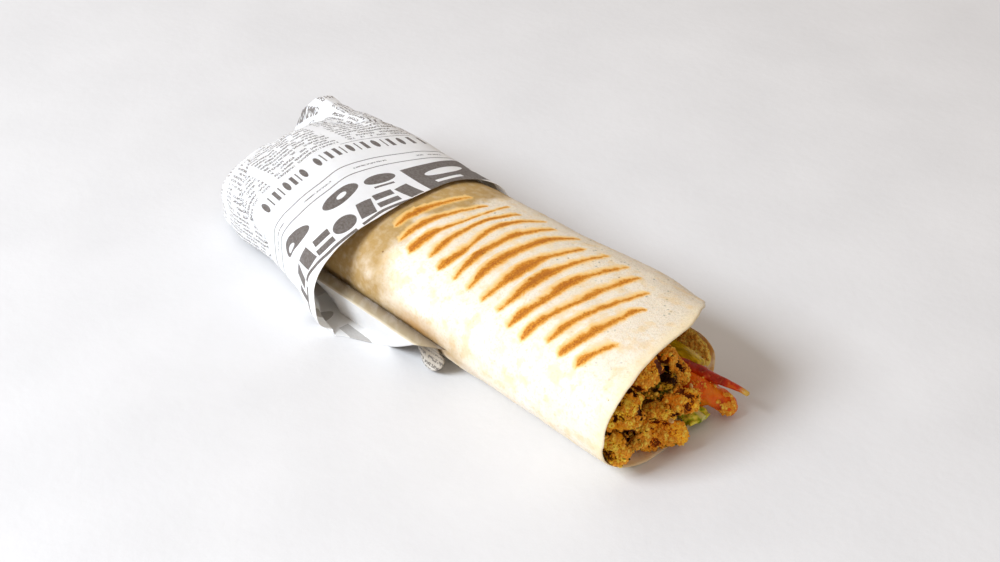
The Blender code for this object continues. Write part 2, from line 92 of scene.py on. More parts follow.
# Paper sleeve: far reach, near reach and height along the roll, then its wrapped length.
PAPER = 0.5
PAPER_NEAR_SQUARENESS = 2.15
PAPER_FAR_SQUARENESS = 2.75
PAPER_BOTTOM_SQUARENESS = 5.5
SLEEVE_X = (-129.0, -121.0, -110.0, -98.0, -87.0, -58.0, -33.0, -18.0)
SLEEVE_FAR = (17.0, 27.0, 33.5, 37.0, 38.6, 39.2, 39.4, 39.6)
SLEEVE_NEAR = (25.0, 32.0, 37.0, 39.5, 38.8, 44.0, 52.0, 53.5)
SLEEVE_TOP = (41.0, 41.2, 41.6, 42.0, 42.4, 42.0, 41.4, 41.8)
END_SHOULDER_X = -95.0
END_POLE_X = -129.2
END_FLAT = 0.09
HUG_FROM = 191.0
LEAVES_FROM = 285.0
LEAVES_TO = 345.0
WRAP_TO = 588.0
WRAP_SHARE = 0.85
LOOP_FOOT_SHARE = 0.2
WALL_FOOT_SHARE = 0.5
LOOP_FOOT_IN = (10.0, 6.0)
LOOP_OPENS_X = (-60.0, -36.0)
WALL_FOOT_Y = -35.5
WALL_FOOT_IN = 15.0
RIDGE_Y = -40.0
RIDGE_IN = 3.0
RIDGE_Z = 14.0
PAPER_RIM_AT = (0.0, 0.045, 0.07, 0.115, 0.30, 0.42, 0.47, 0.52, 0.80, 0.85, 0.88, 0.925, 1.0)
PAPER_RIM_X = (18.0, 17.5, 12.0, -14.0, -22.0, -27.0, -31.0, -33.0,
               -33.0, -31.5, -29.5, -11.0, 9.0)
OVERLAP_FROM_X = -54.0
SEAM_SHARE = 0.1
HUGS_FROM_X = (-94.0, -74.0)
CURL_TURN = 228.0
CURL_REACH = 22.0
CURL_OUT = 8.0
CURL_DROP = 0.7
CURL_FROM_X = (-6.0, 10.0)
EAR_TURN = 417.0
EAR_REACH = 15.5
EAR_FROM_X = -100.0
EAR_TIP_X = -116.5
EAR_RISE = 2.5


def rise(x, low, high):
    """Goes from 0 at low to 1 at high with level ends: t squared times 3 minus 2 t."""
    t = np.clip((np.asarray(x, float) - low) / (high - low), 0.0, 1.0)
    return t * t * (3.0 - 2.0 * t)


def hump(x, centre, reach):
    """A raised cosine: 1 at the centre, 0 at a reach to either side."""
    t = np.clip(np.abs(np.asarray(x, float) - centre) / reach, 0.0, 1.0)
    return 0.5 + 0.5 * np.cos(np.pi * t)


def eased(x, places, values):
    """Joins a few values by cubics whose slopes are the harmonic mean of the steps beside."""
    places = np.asarray(places, float)
    values = np.asarray(values, float)
    steps = np.diff(places)
    slopes = np.diff(values) / steps
    inner = np.where(slopes[1:] * slopes[:-1] > 0.0,
                     2.0 * slopes[1:] * slopes[:-1] / (slopes[1:] + slopes[:-1] + 1e-12), 0.0)
    ends = np.concatenate([slopes[:1], inner, slopes[-1:]])
    k = np.clip(np.searchsorted(places, x, side="right") - 1, 0, len(steps) - 1)
    t = np.clip((x - places[k]) / steps[k], 0.0, 1.0)
    value = (1 + 2 * t) * (1 - t) ** 2 * values[k] + t * t * (3 - 2 * t) * values[k + 1]
    return value + steps[k] * t * (1 - t) * ((1 - t) * ends[k] - t * ends[k + 1])


def lattice(corner, seed):
    """A repeatable number from 0 to 1 for each whole-number corner: its three counts times
    large primes, mixed by shifts."""
    mixed = (corner[..., 0] * 73856093) ^ (corner[..., 1] * 19349663) ^ (corner[..., 2] * 83492791)
    mixed = (mixed ^ (seed * 2654435761)) & 0xFFFFFFFF
    mixed = ((mixed ^ (mixed >> 15)) * 2246822519) & 0xFFFFFFFF
    mixed = ((mixed ^ (mixed >> 13)) * 3266489917) & 0xFFFFFFFF
    return ((mixed ^ (mixed >> 16)) & 0xFFFFFF) / float(0xFFFFFF)


def noise(points, size, seed):
    """Smooth noise from -1 to 1: lattice numbers at the eight corners of a cell of the given
    size, blended by a fifth-power ease along each axis."""
    scaled = np.asarray(points, float) / size + 1000.0
    corner = np.floor(scaled).astype(np.int64)
    t = scaled - corner
    t = t * t * t * (t * (t * 6.0 - 15.0) + 10.0)
    total = 0.0
    for dx in (0, 1):
        for dy in (0, 1):
            for dz in (0, 1):
                share = (np.where(dx, t[..., 0], 1 - t[..., 0])
                    * np.where(dy, t[..., 1], 1 - t[..., 1])
                    * np.where(dz, t[..., 2], 1 - t[..., 2]))
                total = total + share * lattice(corner + np.array([dx, dy, dz]), seed)
    return 2.0 * total - 1.0


def layered(points, size, seed, layers=3, keep=0.5):
    """A sum of noises, each half the size of the last and weaker by the share kept."""
    total, weight = 0.0, 1.0
    for k in range(layers):
        total = total + weight * noise(points, size / 2.0 ** k, seed + 7 * k)
        weight *= keep
    return total


def surface_normals(points):
    """Unit normals of a grid of points: the cross product of its two central differences."""
    normal = np.cross(np.gradient(points, axis=1), np.gradient(points, axis=0))
    return normal / (np.linalg.norm(normal, axis=-1, keepdims=True) + 1e-12)


# ---------------------------------------------------------------- meshes

def mesh_piece(name, points, faces, material, uv=None, fields=None, smooth=True):
    """Makes a mesh object from points in millimetres, with a UV map and point fields."""
    mesh = bpy.data.meshes.new(name)
    faces = np.asarray(faces, dtype=np.int32)
    corners = faces.shape[1]
    mesh.vertices.add(len(points))
    mesh.vertices.foreach_set("co", (points * MM).astype(np.float32).ravel())
    mesh.loops.add(faces.size)
    mesh.loops.foreach_set("vertex_index", faces.ravel())
    mesh.polygons.add(len(faces))
    mesh.polygons.foreach_set("loop_start", np.arange(0, faces.size, corners, dtype=np.int32))
    mesh.update(calc_edges=True)
    mesh.polygons.foreach_set("use_smooth", np.full(len(faces), smooth))
    if uv is not None:
        layer = mesh.uv_layers.new(name="UVMap")
        layer.data.foreach_set("uv", uv[faces.ravel()].astype(np.float32).ravel())
    for field, values in (fields or {}).items():
        store = mesh.attributes.new(field, "FLOAT", "POINT")
        store.data.foreach_set("value", np.asarray(values, np.float32).ravel())
    mesh.validate()
    mesh.materials.append(material)
    piece = bpy.data.objects.new(name, mesh)
    bpy.context.scene.collection.objects.link(piece)
    return piece


def sheet_piece(name, outer, inner, material, uv, fields, kept=None):
    """Closes two skins of a sheet into one solid: the quads of both skins, the inner ones
    turned over, and a strip along every edge that only one outer quad has."""
    rows, columns = outer.shape[:2]
    index = np.arange(rows * columns).reshape(rows, columns)
    shift = rows * columns
    quads = np.stack([index[:-1, :-1], index[:-1, 1:], index[1:, 1:], index[1:, :-1]], axis=-1)
    quads = quads.reshape(-1, 4) if kept is None else quads.reshape(-1, 4)[kept]
    starts = quads.ravel()
    ends = np.roll(quads, -1, axis=1).ravel()
    keys = starts.astype(np.int64) * shift + ends
    lone = ~np.isin(keys, ends.astype(np.int64) * shift + starts)
    strip = np.stack([ends[lone], starts[lone], starts[lone] + shift, ends[lone] + shift], axis=-1)
    faces = np.concatenate([quads, quads[:, ::-1] + shift, strip])
    points = np.concatenate([outer.reshape(-1, 3), inner.reshape(-1, 3)])
    fields = {key: np.concatenate([np.ravel(pair[0]), np.ravel(pair[1])])
              for key, pair in fields.items()}
    fields["inside"] = np.repeat([0.0, 1.0], shift)
    uv = np.concatenate([uv.reshape(-1, 2), uv.reshape(-1, 2)])
    used, faces = np.unique(faces, return_inverse=True)
    faces = faces.reshape(-1, 4)
    fields = {key: values[used] for key, values in fields.items()}
    return mesh_piece(name, points[used], faces, material, uv[used], fields)


def tube_faces(count, sides, base=0):
    """Triangles and quads, as triangles, of a closed tube of rings with a hub at either end:
    the two hubs come after the rings."""
    index = base + np.arange(count * sides).reshape(count, sides)
    turned = np.roll(index, -1, axis=1)
    quads = np.stack([index[:-1], turned[:-1], turned[1:], index[1:]], axis=-1).reshape(-1, 4)
    first = base + count * sides
    caps = [np.stack([np.full(sides, first), turned[0], index[0]], axis=-1),
            np.stack([np.full(sides, first + 1), index[-1], turned[-1]], axis=-1)]
    return np.concatenate([quads[:, [0, 1, 2]], quads[:, [0, 2, 3]], *caps])


def tube_points(rings):
    """The points of a tube of rings, then the middle of its first and of its last ring."""
    return np.concatenate([rings.reshape(-1, 3), rings[:1].mean(axis=1), rings[-1:].mean(axis=1)])


# ---------------------------------------------------------------- finishes

def linear(hex_colour):
    """Turns an sRGB hex colour into linear red, green, blue and a full alpha."""
    value = np.array([int(hex_colour[k:k + 2], 16) for k in (1, 3, 5)]) / 255.0
    value = np.where(value <= 0.04045, value / 12.92, ((value + 0.055) / 1.055) ** 2.4)
    return (*value, 1.0)


def new_finish(name, **settings):
    """A Principled material with its settings, and its node tree and shader."""
    material = bpy.data.materials.new(name)
    material.use_nodes = True
    shader = material.node_tree.nodes["Principled BSDF"]
    for socket, value in settings.items():
        shader.inputs[socket.replace("_", " ")].default_value = value
    return material, material.node_tree, shader


# Inputs of a noise or cell pattern and of a bump, in the order they are given; the settings
# of a mix of two colours by a share, and of a range that eases from 0 to 1.
PATTERN_INPUTS = ("Vector", "Scale", "Detail", "Roughness")
BUMP_INPUTS = ("Strength", "Distance", "Height")
COLOUR_MIX = {"at": (0, 6, 7), "out": 2, "data_type": "RGBA"}
EASED = {"interpolation_type": "SMOOTHSTEP"}


def node(tree, kind, *inputs, at=None, out=0, stops=(), **settings):
    """Adds one node with its settings and links, and returns one of its outputs. The kind may
    carry an operation after a dot. Inputs are sockets, numbers or hex colours, given to the
    node's inputs in order or to those listed; stops are a ramp's places and hex colours."""
    kind, _, operation = kind.partition(".")
    made = tree.nodes.new("ShaderNode" + kind)
    if operation:
        made.operation = operation
    for setting, value in settings.items():
        setattr(made, setting, value)
    for place, value in zip(at or range(len(inputs)), inputs):
        if isinstance(value, bpy.types.NodeSocket):
            tree.links.new(value, made.inputs[place])
        else:
            made.inputs[place].default_value = linear(value) if isinstance(value, str) else value
    for number, (place, colour) in enumerate(stops):
        elements = made.color_ramp.elements
        element = elements[number] if number < len(elements) else elements.new(1.0)
        element.position, element.color = place, linear(colour)
    return made.outputs[out]


def per_metre(size_mm):
    """How many of a pattern's cells of a real size, in millimetres, go to the metre."""
    return 1.0 / (size_mm * MM)


def closing(x):
    """Shrinks the roll to a rounded closed tail, as a quarter ellipse along X."""
    t = np.clip((SHOULDER_X - np.asarray(x, float)) / (SHOULDER_X - TAIL_POLE_X), 0.0, 0.999)
    return np.sqrt(1.0 - t * t)


def roll_section(turn, x, inset):
    """Point (y, z) of the roll at a turn angle: a superellipse, cosine and sine of the angle
    each to the power 2 over its squareness, drawn in by an inset, pressed flat at the floor,
    with raised cosines for the far foot, the leaning inner turn and the flap."""
    angle = np.radians(turn)
    shrink = closing(x)
    half = (HALF_WIDTH + WIDTH_GROWTH * x) * shrink - inset
    middle = (HEIGHT + HEIGHT_GROWTH * x) / 2.0
    side, level = np.cos(angle), np.sin(angle)
    power = 2.0 / np.where(level > 0.0, TOP_SQUARENESS, BOTTOM_SQUARENESS)
    y = ROLL_Y + ROLL_DRIFT * x + half * np.sign(side) * np.abs(side) ** power
    reach = middle * shrink - inset + np.where(level > 0.0, 0.0, BOTTOM_PRESS)
    z = middle + reach * np.sign(level) * np.abs(level) ** power
    lift = PAPER_LIFT * (1.0 - rise(x, LIFT_FULL_X, LIFT_FROM_X))
    flap = 1.0 - rise(turn, *FLAP_FADES)
    y = y + flap * FLAP_BULGE * hump(x, *FLAP_BULGE_X)
    y = y - flap * FLAP_DRAW_IN * rise(x, *FLAP_DRAW_IN_X)
    opening = rise(x, OPENS_FROM_X, OPENS_FULL_X)
    y = y + FOOT_SPREAD * opening * hump(turn, FOOT_TURN, FOOT_REACH)
    y = y - LEAN_IN * opening * hump(turn, LEAN_TURN, LEAN_REACH)
    return y, np.maximum(z, lift + inset)


def tuck(turn):
    """How far a turn of the sheet lies inside the outer skin."""
    return (SHEET + GAP) * rise(turn, TUCK_FROM, TUCK_FULL)


def inner_wall(turn, x, clear):
    """The roll's inside surface over one full turn, kept a clearance away."""
    start = INNER_TURN - 360.0
    inside = np.where(turn < start, turn + 360.0, turn)
    seam = (SHEET + GAP) * (1.0 - rise(turn, start + 12.0, start + 42.0)) * (turn < 180.0)
    return roll_section(inside, x, np.maximum(tuck(inside), seam) + SHEET + clear)


def far_wall_y(z, x):
    """How far the inside of the roll reaches on its far side at a height."""
    turn = np.linspace(-72.0, 60.0, 67)
    wall_y, wall_z = inner_wall(turn % 360.0, x, FILL_GAP)
    order = np.argsort(wall_z)
    return np.interp(z, wall_z[order], wall_y[order])


def end_closing(x):
    """Lowers the sleeve to its flat tucked end, as a quarter ellipse along X."""
    t = np.clip((END_SHOULDER_X - x) / (END_SHOULDER_X - END_POLE_X), 0.0, 1.0)
    return np.maximum(np.sqrt(1.0 - t * t), END_FLAT)


def ear_share(turn):
    """How much of the ear stands at a turn: a level top with a steep end towards the top of
    the roll and a slow one towards its far side."""
    return rise(turn, EAR_TURN - 10.0, EAR_TURN - 3.0) * (1.0
        - rise(turn, EAR_TURN + 8.0, EAR_TURN + 15.5))


def paper_path(part, x):
    """Middle of the paper at a part of its wrapped length as (y, z): a superellipse round the roll, blended
    into the loop that stands off it, then straight runs along the floor, up the low wall to its ridge and,
    past 1, up the grease-stained band, painted with shade, that leans on the flatbread."""
    turn = HUG_FROM + (WRAP_TO - HUG_FROM) * np.clip(part / WRAP_SHARE, 0.0, 1.0)
    ear = ear_share(turn)
    shape_x = np.where(x < EAR_FROM_X, x + ear * (EAR_FROM_X - x), x)
    far, near, top = [eased(shape_x, SLEEVE_X, sizes) for sizes in
                      (SLEEVE_FAR, SLEEVE_NEAR, SLEEVE_TOP)]
    top = top * end_closing(shape_x)
    hug_y, hug_z = roll_section(turn % 360.0, np.minimum(x, OPENS_FROM_X), -HUG_GAP - PAPER / 2.0)
    curl = hump(turn, CURL_TURN, CURL_REACH) * rise(x, *CURL_FROM_X)
    hug_y, hug_z = hug_y - CURL_OUT * curl, hug_z * (1.0 - CURL_DROP * curl)
    angle = np.radians(turn)
    side, level = np.cos(angle), np.sin(angle)
    upper = np.where(side > 0.0, PAPER_FAR_SQUARENESS, PAPER_NEAR_SQUARENESS)
    power = 2.0 / np.where(level > 0.0, upper, PAPER_BOTTOM_SQUARENESS)
    loop_y = (far - near) / 2.0 + (far + near) / 2.0 * np.sign(side) * np.abs(side) ** power
    loop_z = top / 2.0 * (1.0 + np.sign(level) * np.abs(level) ** power)
    away = np.maximum(rise(turn, LEAVES_FROM, LEAVES_TO), 1.0 - rise(x, *HUGS_FROM_X))
    y = hug_y + (loop_y - hug_y) * away
    z = hug_z + (loop_z - hug_z) * away
    z = z + EAR_RISE * ear * (1.0 - rise(x, EAR_FROM_X, HUGS_FROM_X[1]))
    fold = np.clip((part - WRAP_SHARE) / (1.0 - WRAP_SHARE), 0.0, 1.0)
    shares = (0.0, LOOP_FOOT_SHARE, WALL_FOOT_SHARE, 1.0)
    to_foot, to_wall, to_ridge = [np.clip((fold - low) / (high - low), 0.0, 1.0)
                                  for low, high in zip(shares[:-1], shares[1:])]
    loop_in = LOOP_FOOT_IN[0] + (LOOP_FOOT_IN[1] - LOOP_FOOT_IN[0]) * rise(x, *LOOP_OPENS_X)
    loop_foot = loop_in - near
    wall_foot = np.maximum(WALL_FOOT_Y, WALL_FOOT_IN - near)
    ridge = np.maximum(RIDGE_Y, RIDGE_IN - near)
    to_bread = np.clip((part - 1.0) / BAND_SHARE, 0.0, 1.0)
    y = y + (loop_foot - y) * to_foot + (wall_foot - loop_foot) * to_wall
    y = y + (ridge - wall_foot) * to_ridge + BAND_IN * to_bread
    z = z * (1.0 - to_foot) + RIDGE_Z * to_ridge + BAND_UP * to_bread
    return y, np.maximum(z, PAPER / 2.0)


# The band past the ridge, grease-stained and painted with shade: its share of the wrapped length, how far it
# leans in and up.
BAND_SHARE = 0.03
FOLD_NEAR = 0.0006
BAND_IN = 2.9
BAND_UP = 3.9
BAND_RIM_X = 23.0


# ---------------------------------------------------------------- flatbread

BREAD_ROWS = 176
BREAD_COLUMNS = 280
RIM_THICKNESS = 0.6
RIM_ROUND = 0.9

# Grill marks from the tail to the mouth: (across the roll, along the roll, width) in mm.
GRILL_MARKS = (
    ((-17.5, -26.4, 0.2), (-12, -26.7, 1.6), (-5, -26.4, 2.2), (0, -25.6, 1.3), (7, -23.4, 0.9),
     (14.2, -20.7, 0.3)),
    ((-22, -19, 0.2), (-16, -18.9, 1.4), (-10, -18.7, 2.0), (-4, -17.9, 1.4), (3, -15.8, 0.7),
     (14.9, -11.5, 0.2)),
    ((-23.2, -11.4, 1.6), (-20, -11.4, 2.4), (-14, -11.3, 2.3), (-9, -11, 1.2), (-1.4, -9.2, 0.4),
     (8, -8.2, 0.3), (21.9, -7.5, 0.2)),
    ((-21.4, -2.4, 0.2), (-16, -3.2, 1.5), (-8.6, -4.2, 1.3), (0, -4.3, 0.9), (7, -3.9, 1.2),
     (13, -2, 1.0), (20.2, 0.5, 0.2)),
    ((-23.7, 4.9, 0.6), (-20, 5.3, 2.0), (-14.7, 5.5, 1.8), (-6, 4.2, 0.8), (3, 2.5, 1.3),
     (10, 3.1, 1.5), (16, 5, 1.0), (24.5, 9.2, 0.2)),
    ((-23.9, 13.2, 0.2), (-17, 12.2, 1.2), (-10.7, 11.2, 2.4), (-3.4, 10.5, 1.3), (3, 10.7, 1.3),
     (9.7, 11.5, 1.7), (15, 13.4, 1.2), (22.7, 16.1, 0.2)),
    ((-24.5, 21.4, 0.2), (-18, 20.4, 1.5), (-11.1, 19.6, 2.3), (-3.4, 19.3, 2.5), (5, 20, 1.6),
     (13.8, 21.2, 2.3), (18, 22.8, 1.5), (25.2, 26.3, 0.2)),
    ((-25.4, 29.8, 0.2), (-19, 30.2, 1.0), (-12, 30.2, 2.4), (-6, 29.7, 3.4), (0, 29.8, 2.4),
     (6.7, 30.4, 1.0), (13, 32.3, 1.1), (20.1, 34.3, 0.2)),
    ((-25.6, 38.2, 0.2), (-20, 38.8, 1.0), (-14, 38.5, 1.8), (-7, 37.9, 3.0), (-1, 37.7, 3.2),
     (5, 38.6, 1.2), (12, 40, 0.9), (23.3, 42.7, 0.2)),
    ((-28.5, 46, 0.2), (-25, 46.7, 1.6), (-21, 47.2, 2.3), (-16, 48.2, 1.2), (-10, 48, 1.6),
     (-2, 47.6, 2.6), (4, 48, 2.3), (9, 49.2, 1.0), (16, 51, 0.8), (23.4, 52.8, 0.2)),
    ((-29.5, 53.8, 0.6), (-26, 54.3, 1.7), (-19.2, 55.1, 1.4), (-12, 56.4, 1.1), (-5.5, 57.8, 1.5),
     (1, 58.2, 1.5), (8, 58.9, 1.1), (14, 60, 1.0), (20.7, 61.3, 0.2)),
    ((-26, 63.5, 0.3), (-22, 63.7, 1.1), (-16.3, 64, 1.4), (-10, 65, 1.3), (-2, 66.4, 1.1),
     (4.6, 67.9, 0.9), (10, 69.3, 0.8), (15.1, 70.6, 0.3)),
    ((-27.7, 70.7, 0.9), (-24, 71.7, 2.1), (-18.8, 72.9, 1.8), (-13, 73.6, 2.0), (-8, 74.3, 1.4),
     (-2, 75, 0.9), (3.2, 75.4, 1.3), (6.6, 77.2, 0.3)),
    ((-28, 79, 0.4), (-25.5, 79.6, 1.8), (-22.1, 80.7, 1.3), (-18, 82.3, 0.9), (-14.1, 83.8, 0.2)),
)
MARK_PITCH = 8.5


def grill_fields(x, y, on_top):
    """The stripe count, whole on the middle line of each mark and evenly shared out between
    two lines, and the half width of the nearest mark as a share of the pitch there. Past a
    mark's end the width goes on below zero by the distance."""
    lines = [eased(y, [row[0] for row in mark], [row[1] for row in mark]) for mark in GRILL_MARKS]
    lines = [lines[0] - MARK_PITCH] + lines + [lines[-1] + MARK_PITCH]
    halves = [np.full(y.shape, -9.0)]
    for mark in GRILL_MARKS:
        ends = [row[0] for row in mark]
        beyond = np.maximum(ends[0] - y, 0.0) + np.maximum(y - ends[-1], 0.0)
        halves.append(eased(y, ends, [row[2] / 2.0 for row in mark]) - beyond)
    halves.append(halves[0])
    stripe = sum(np.clip((x - low) / (high - low), 0.0, 1.0)
                 for low, high in zip(lines[:-1], lines[1:]))
    nearest = np.round(stripe).astype(int)
    other = np.clip(nearest + np.where(stripe < nearest, -1, 1), 0, len(lines) - 1)
    lines, halves = np.stack(lines), np.stack(halves)
    pick = lambda table, k: np.take_along_axis(table, k[None], axis=0)[0]
    pitch = np.abs(pick(lines, nearest) - pick(lines, other)) + 1e-6
    return stripe, np.where(on_top, pick(halves, nearest) / pitch, -1.0)


def bread_skins():
    """Outer and inner skins of the rolled flatbread and their fields: the roll's section on a
    grid of turn and length, pushed in and out by layered noise, thinned to a rounded rim by a
    quarter circle."""
    share = np.linspace(0.0, 1.0, BREAD_COLUMNS)
    turn = (FLAP_TURN + (INNER_TURN - FLAP_TURN) * share)[None, :]
    rim = eased(turn, RIM_TURNS, RIM_REACH)
    rim = rim + 0.35 * noise(np.stack([turn / 9.0, 0.0 * turn, 0.0 * turn], axis=-1), 1.0, 5)
    along = np.linspace(0.0, 1.0, BREAD_ROWS)[:, None]
    along = along + 0.16 * np.sin(np.pi * along) / np.pi
    x = TAIL_X + (rim - TAIL_X) * along
    turn = turn + 0.0 * x
    y, z = roll_section(turn, x, tuck(turn))
    middle = np.stack([x, y, z], axis=-1)
    to_rim = (rim - x)
    arc = np.cumsum(np.linalg.norm(np.diff(middle, axis=1, prepend=middle[:, :1]), axis=-1),
        axis=1)
    to_edge = np.minimum(np.minimum(arc, arc[:, -1:] - arc), to_rim)
    body = SHEET * closing(x)
    body = body + (RIM_THICKNESS - SHEET) * (1.0 - rise(to_rim, 1.0, 16.0)) * (x > 40.0)
    body = body + (0.9 - SHEET) * (1.0 - rise(np.minimum(arc, arc[:, -1:] - arc), 0.5, 12.0)) * 0.8
    body = np.clip(body, 0.5, SHEET)
    rounding = np.sqrt(np.clip(1.0 - (1.0 - np.clip(to_edge / RIM_ROUND, 0.0, 1.0)) ** 2, 0.02,
            1.0))
    # Soft dents, small bubbles and the grain of the dough; calmer where the paper hugs it.
    open_air = rise(turn, 20.0, 40.0) * (1.0 - rise(turn, 205.0, 235.0))
    calm = 0.35 + 0.65 * open_air * rise(x, -36.0, -20.0)
    swell = calm * (0.42 * layered(middle, 26.0, 11, 2) + 0.16 * layered(middle, 6.0, 12, 2))
    swell = swell + 0.045 * layered(middle, 1.7, 13, 2)
    creases = hump(turn, 190.0, 28.0) * hump(x, 8.0, 30.0)
    stretched = middle * np.array([0.35, 1.0, 1.0])
    swell = swell - 0.55 * creases * (1.0 - np.abs(noise(stretched, 4.2, 31))) ** 3
    skins = []
    for depth in (body * (1.0 - rounding) / 2.0, body * (1.0 + rounding) / 2.0):
        skin_y, skin_z = roll_section(turn, x, tuck(turn) + depth - swell)
        skins.append(np.stack([x, skin_y, np.maximum(skin_z, 0.02)], axis=-1))
    on_top = (turn > 35.0) & (turn < 190.0)
    stripe, half = grill_fields(x, y, on_top)
    # Steamed and grease-stained where the paper covers it, most along the near rim of the sleeve; mixed with
    # painted shadow of the paper rim, strongest over the top by the rim, and painted shade along the near
    # foot.
    near = rise(turn, 105.0, 160.0) * (1.0 - rise(turn, 320.0, 350.0))
    from_paper = x + 33.0 - 6.0 * rise(turn, 150.0, 200.0)
    patch = layered(middle, 9.0, 21, 2)
    stain = (1.0 - rise(from_paper + 7.0 * patch, 4.0, 22.0)) * (0.35 + 0.65 * near)
    # Painted shadow of the paper rim over the top and far side, just out of the sleeve.
    stain = stain + 1.3 * (1.0 - rise(x + 6.0 * patch, -29.0, -14.0)) * (1.0 - near)
    # Painted shade in the crevice along the near foot, where the bread meets the paper.
    foot = hump(turn, 192.0, 28.0) * (1.0 - rise(x + 5.0 * patch, 12.0, 46.0))
    stain = np.clip(stain + 0.9 * foot, 0.0, 1.0)
    browned = hump(turn, 190.0, 20.0) * hump(x, 6.0, 19.0) * rise(noise(stretched, 5.0, 23), -0.1,
        0.5)
    # Where the far side is painted darker and greyer, as shade turned from the light: in patches over the far
    # half, and in full on the far side and partly over the top, out of the sleeve.
    far = 0.30 * rise(noise(middle, 11.0, 27), -0.2, 0.6) * (1.0 - rise(turn, 150.0, 185.0))
    far = np.maximum(far, (1.0 - rise(turn, 55.0, 130.0)) * rise(x, -34.0, 0.0))
    greased = rise(turn, 285.0, 310.0) * rise(x, 40.0, 60.0)
    # Painted shade and light: a golden cream along the rim of the mouth, for the rim's shading and the light
    # passing through its thin edge.
    lip = (1.0 - rise(to_rim, 0.6, 7.0)) * rise(turn, 50.0,
        80.0) * (1.0 - rise(turn, 320.0, 345.0))
    fields = {"stripe": (stripe, stripe), "lip": (lip, lip),
        "mark_half": (half, np.full(half.shape, -1.0)), "stain": (stain, 0.4 * stain),
        "browned": (browned, 0.0 * browned), "far_side": (far, 0.0 * far),
        "greased": (0.0 * greased, greased), "length": (x, x)}
    return skins, fields


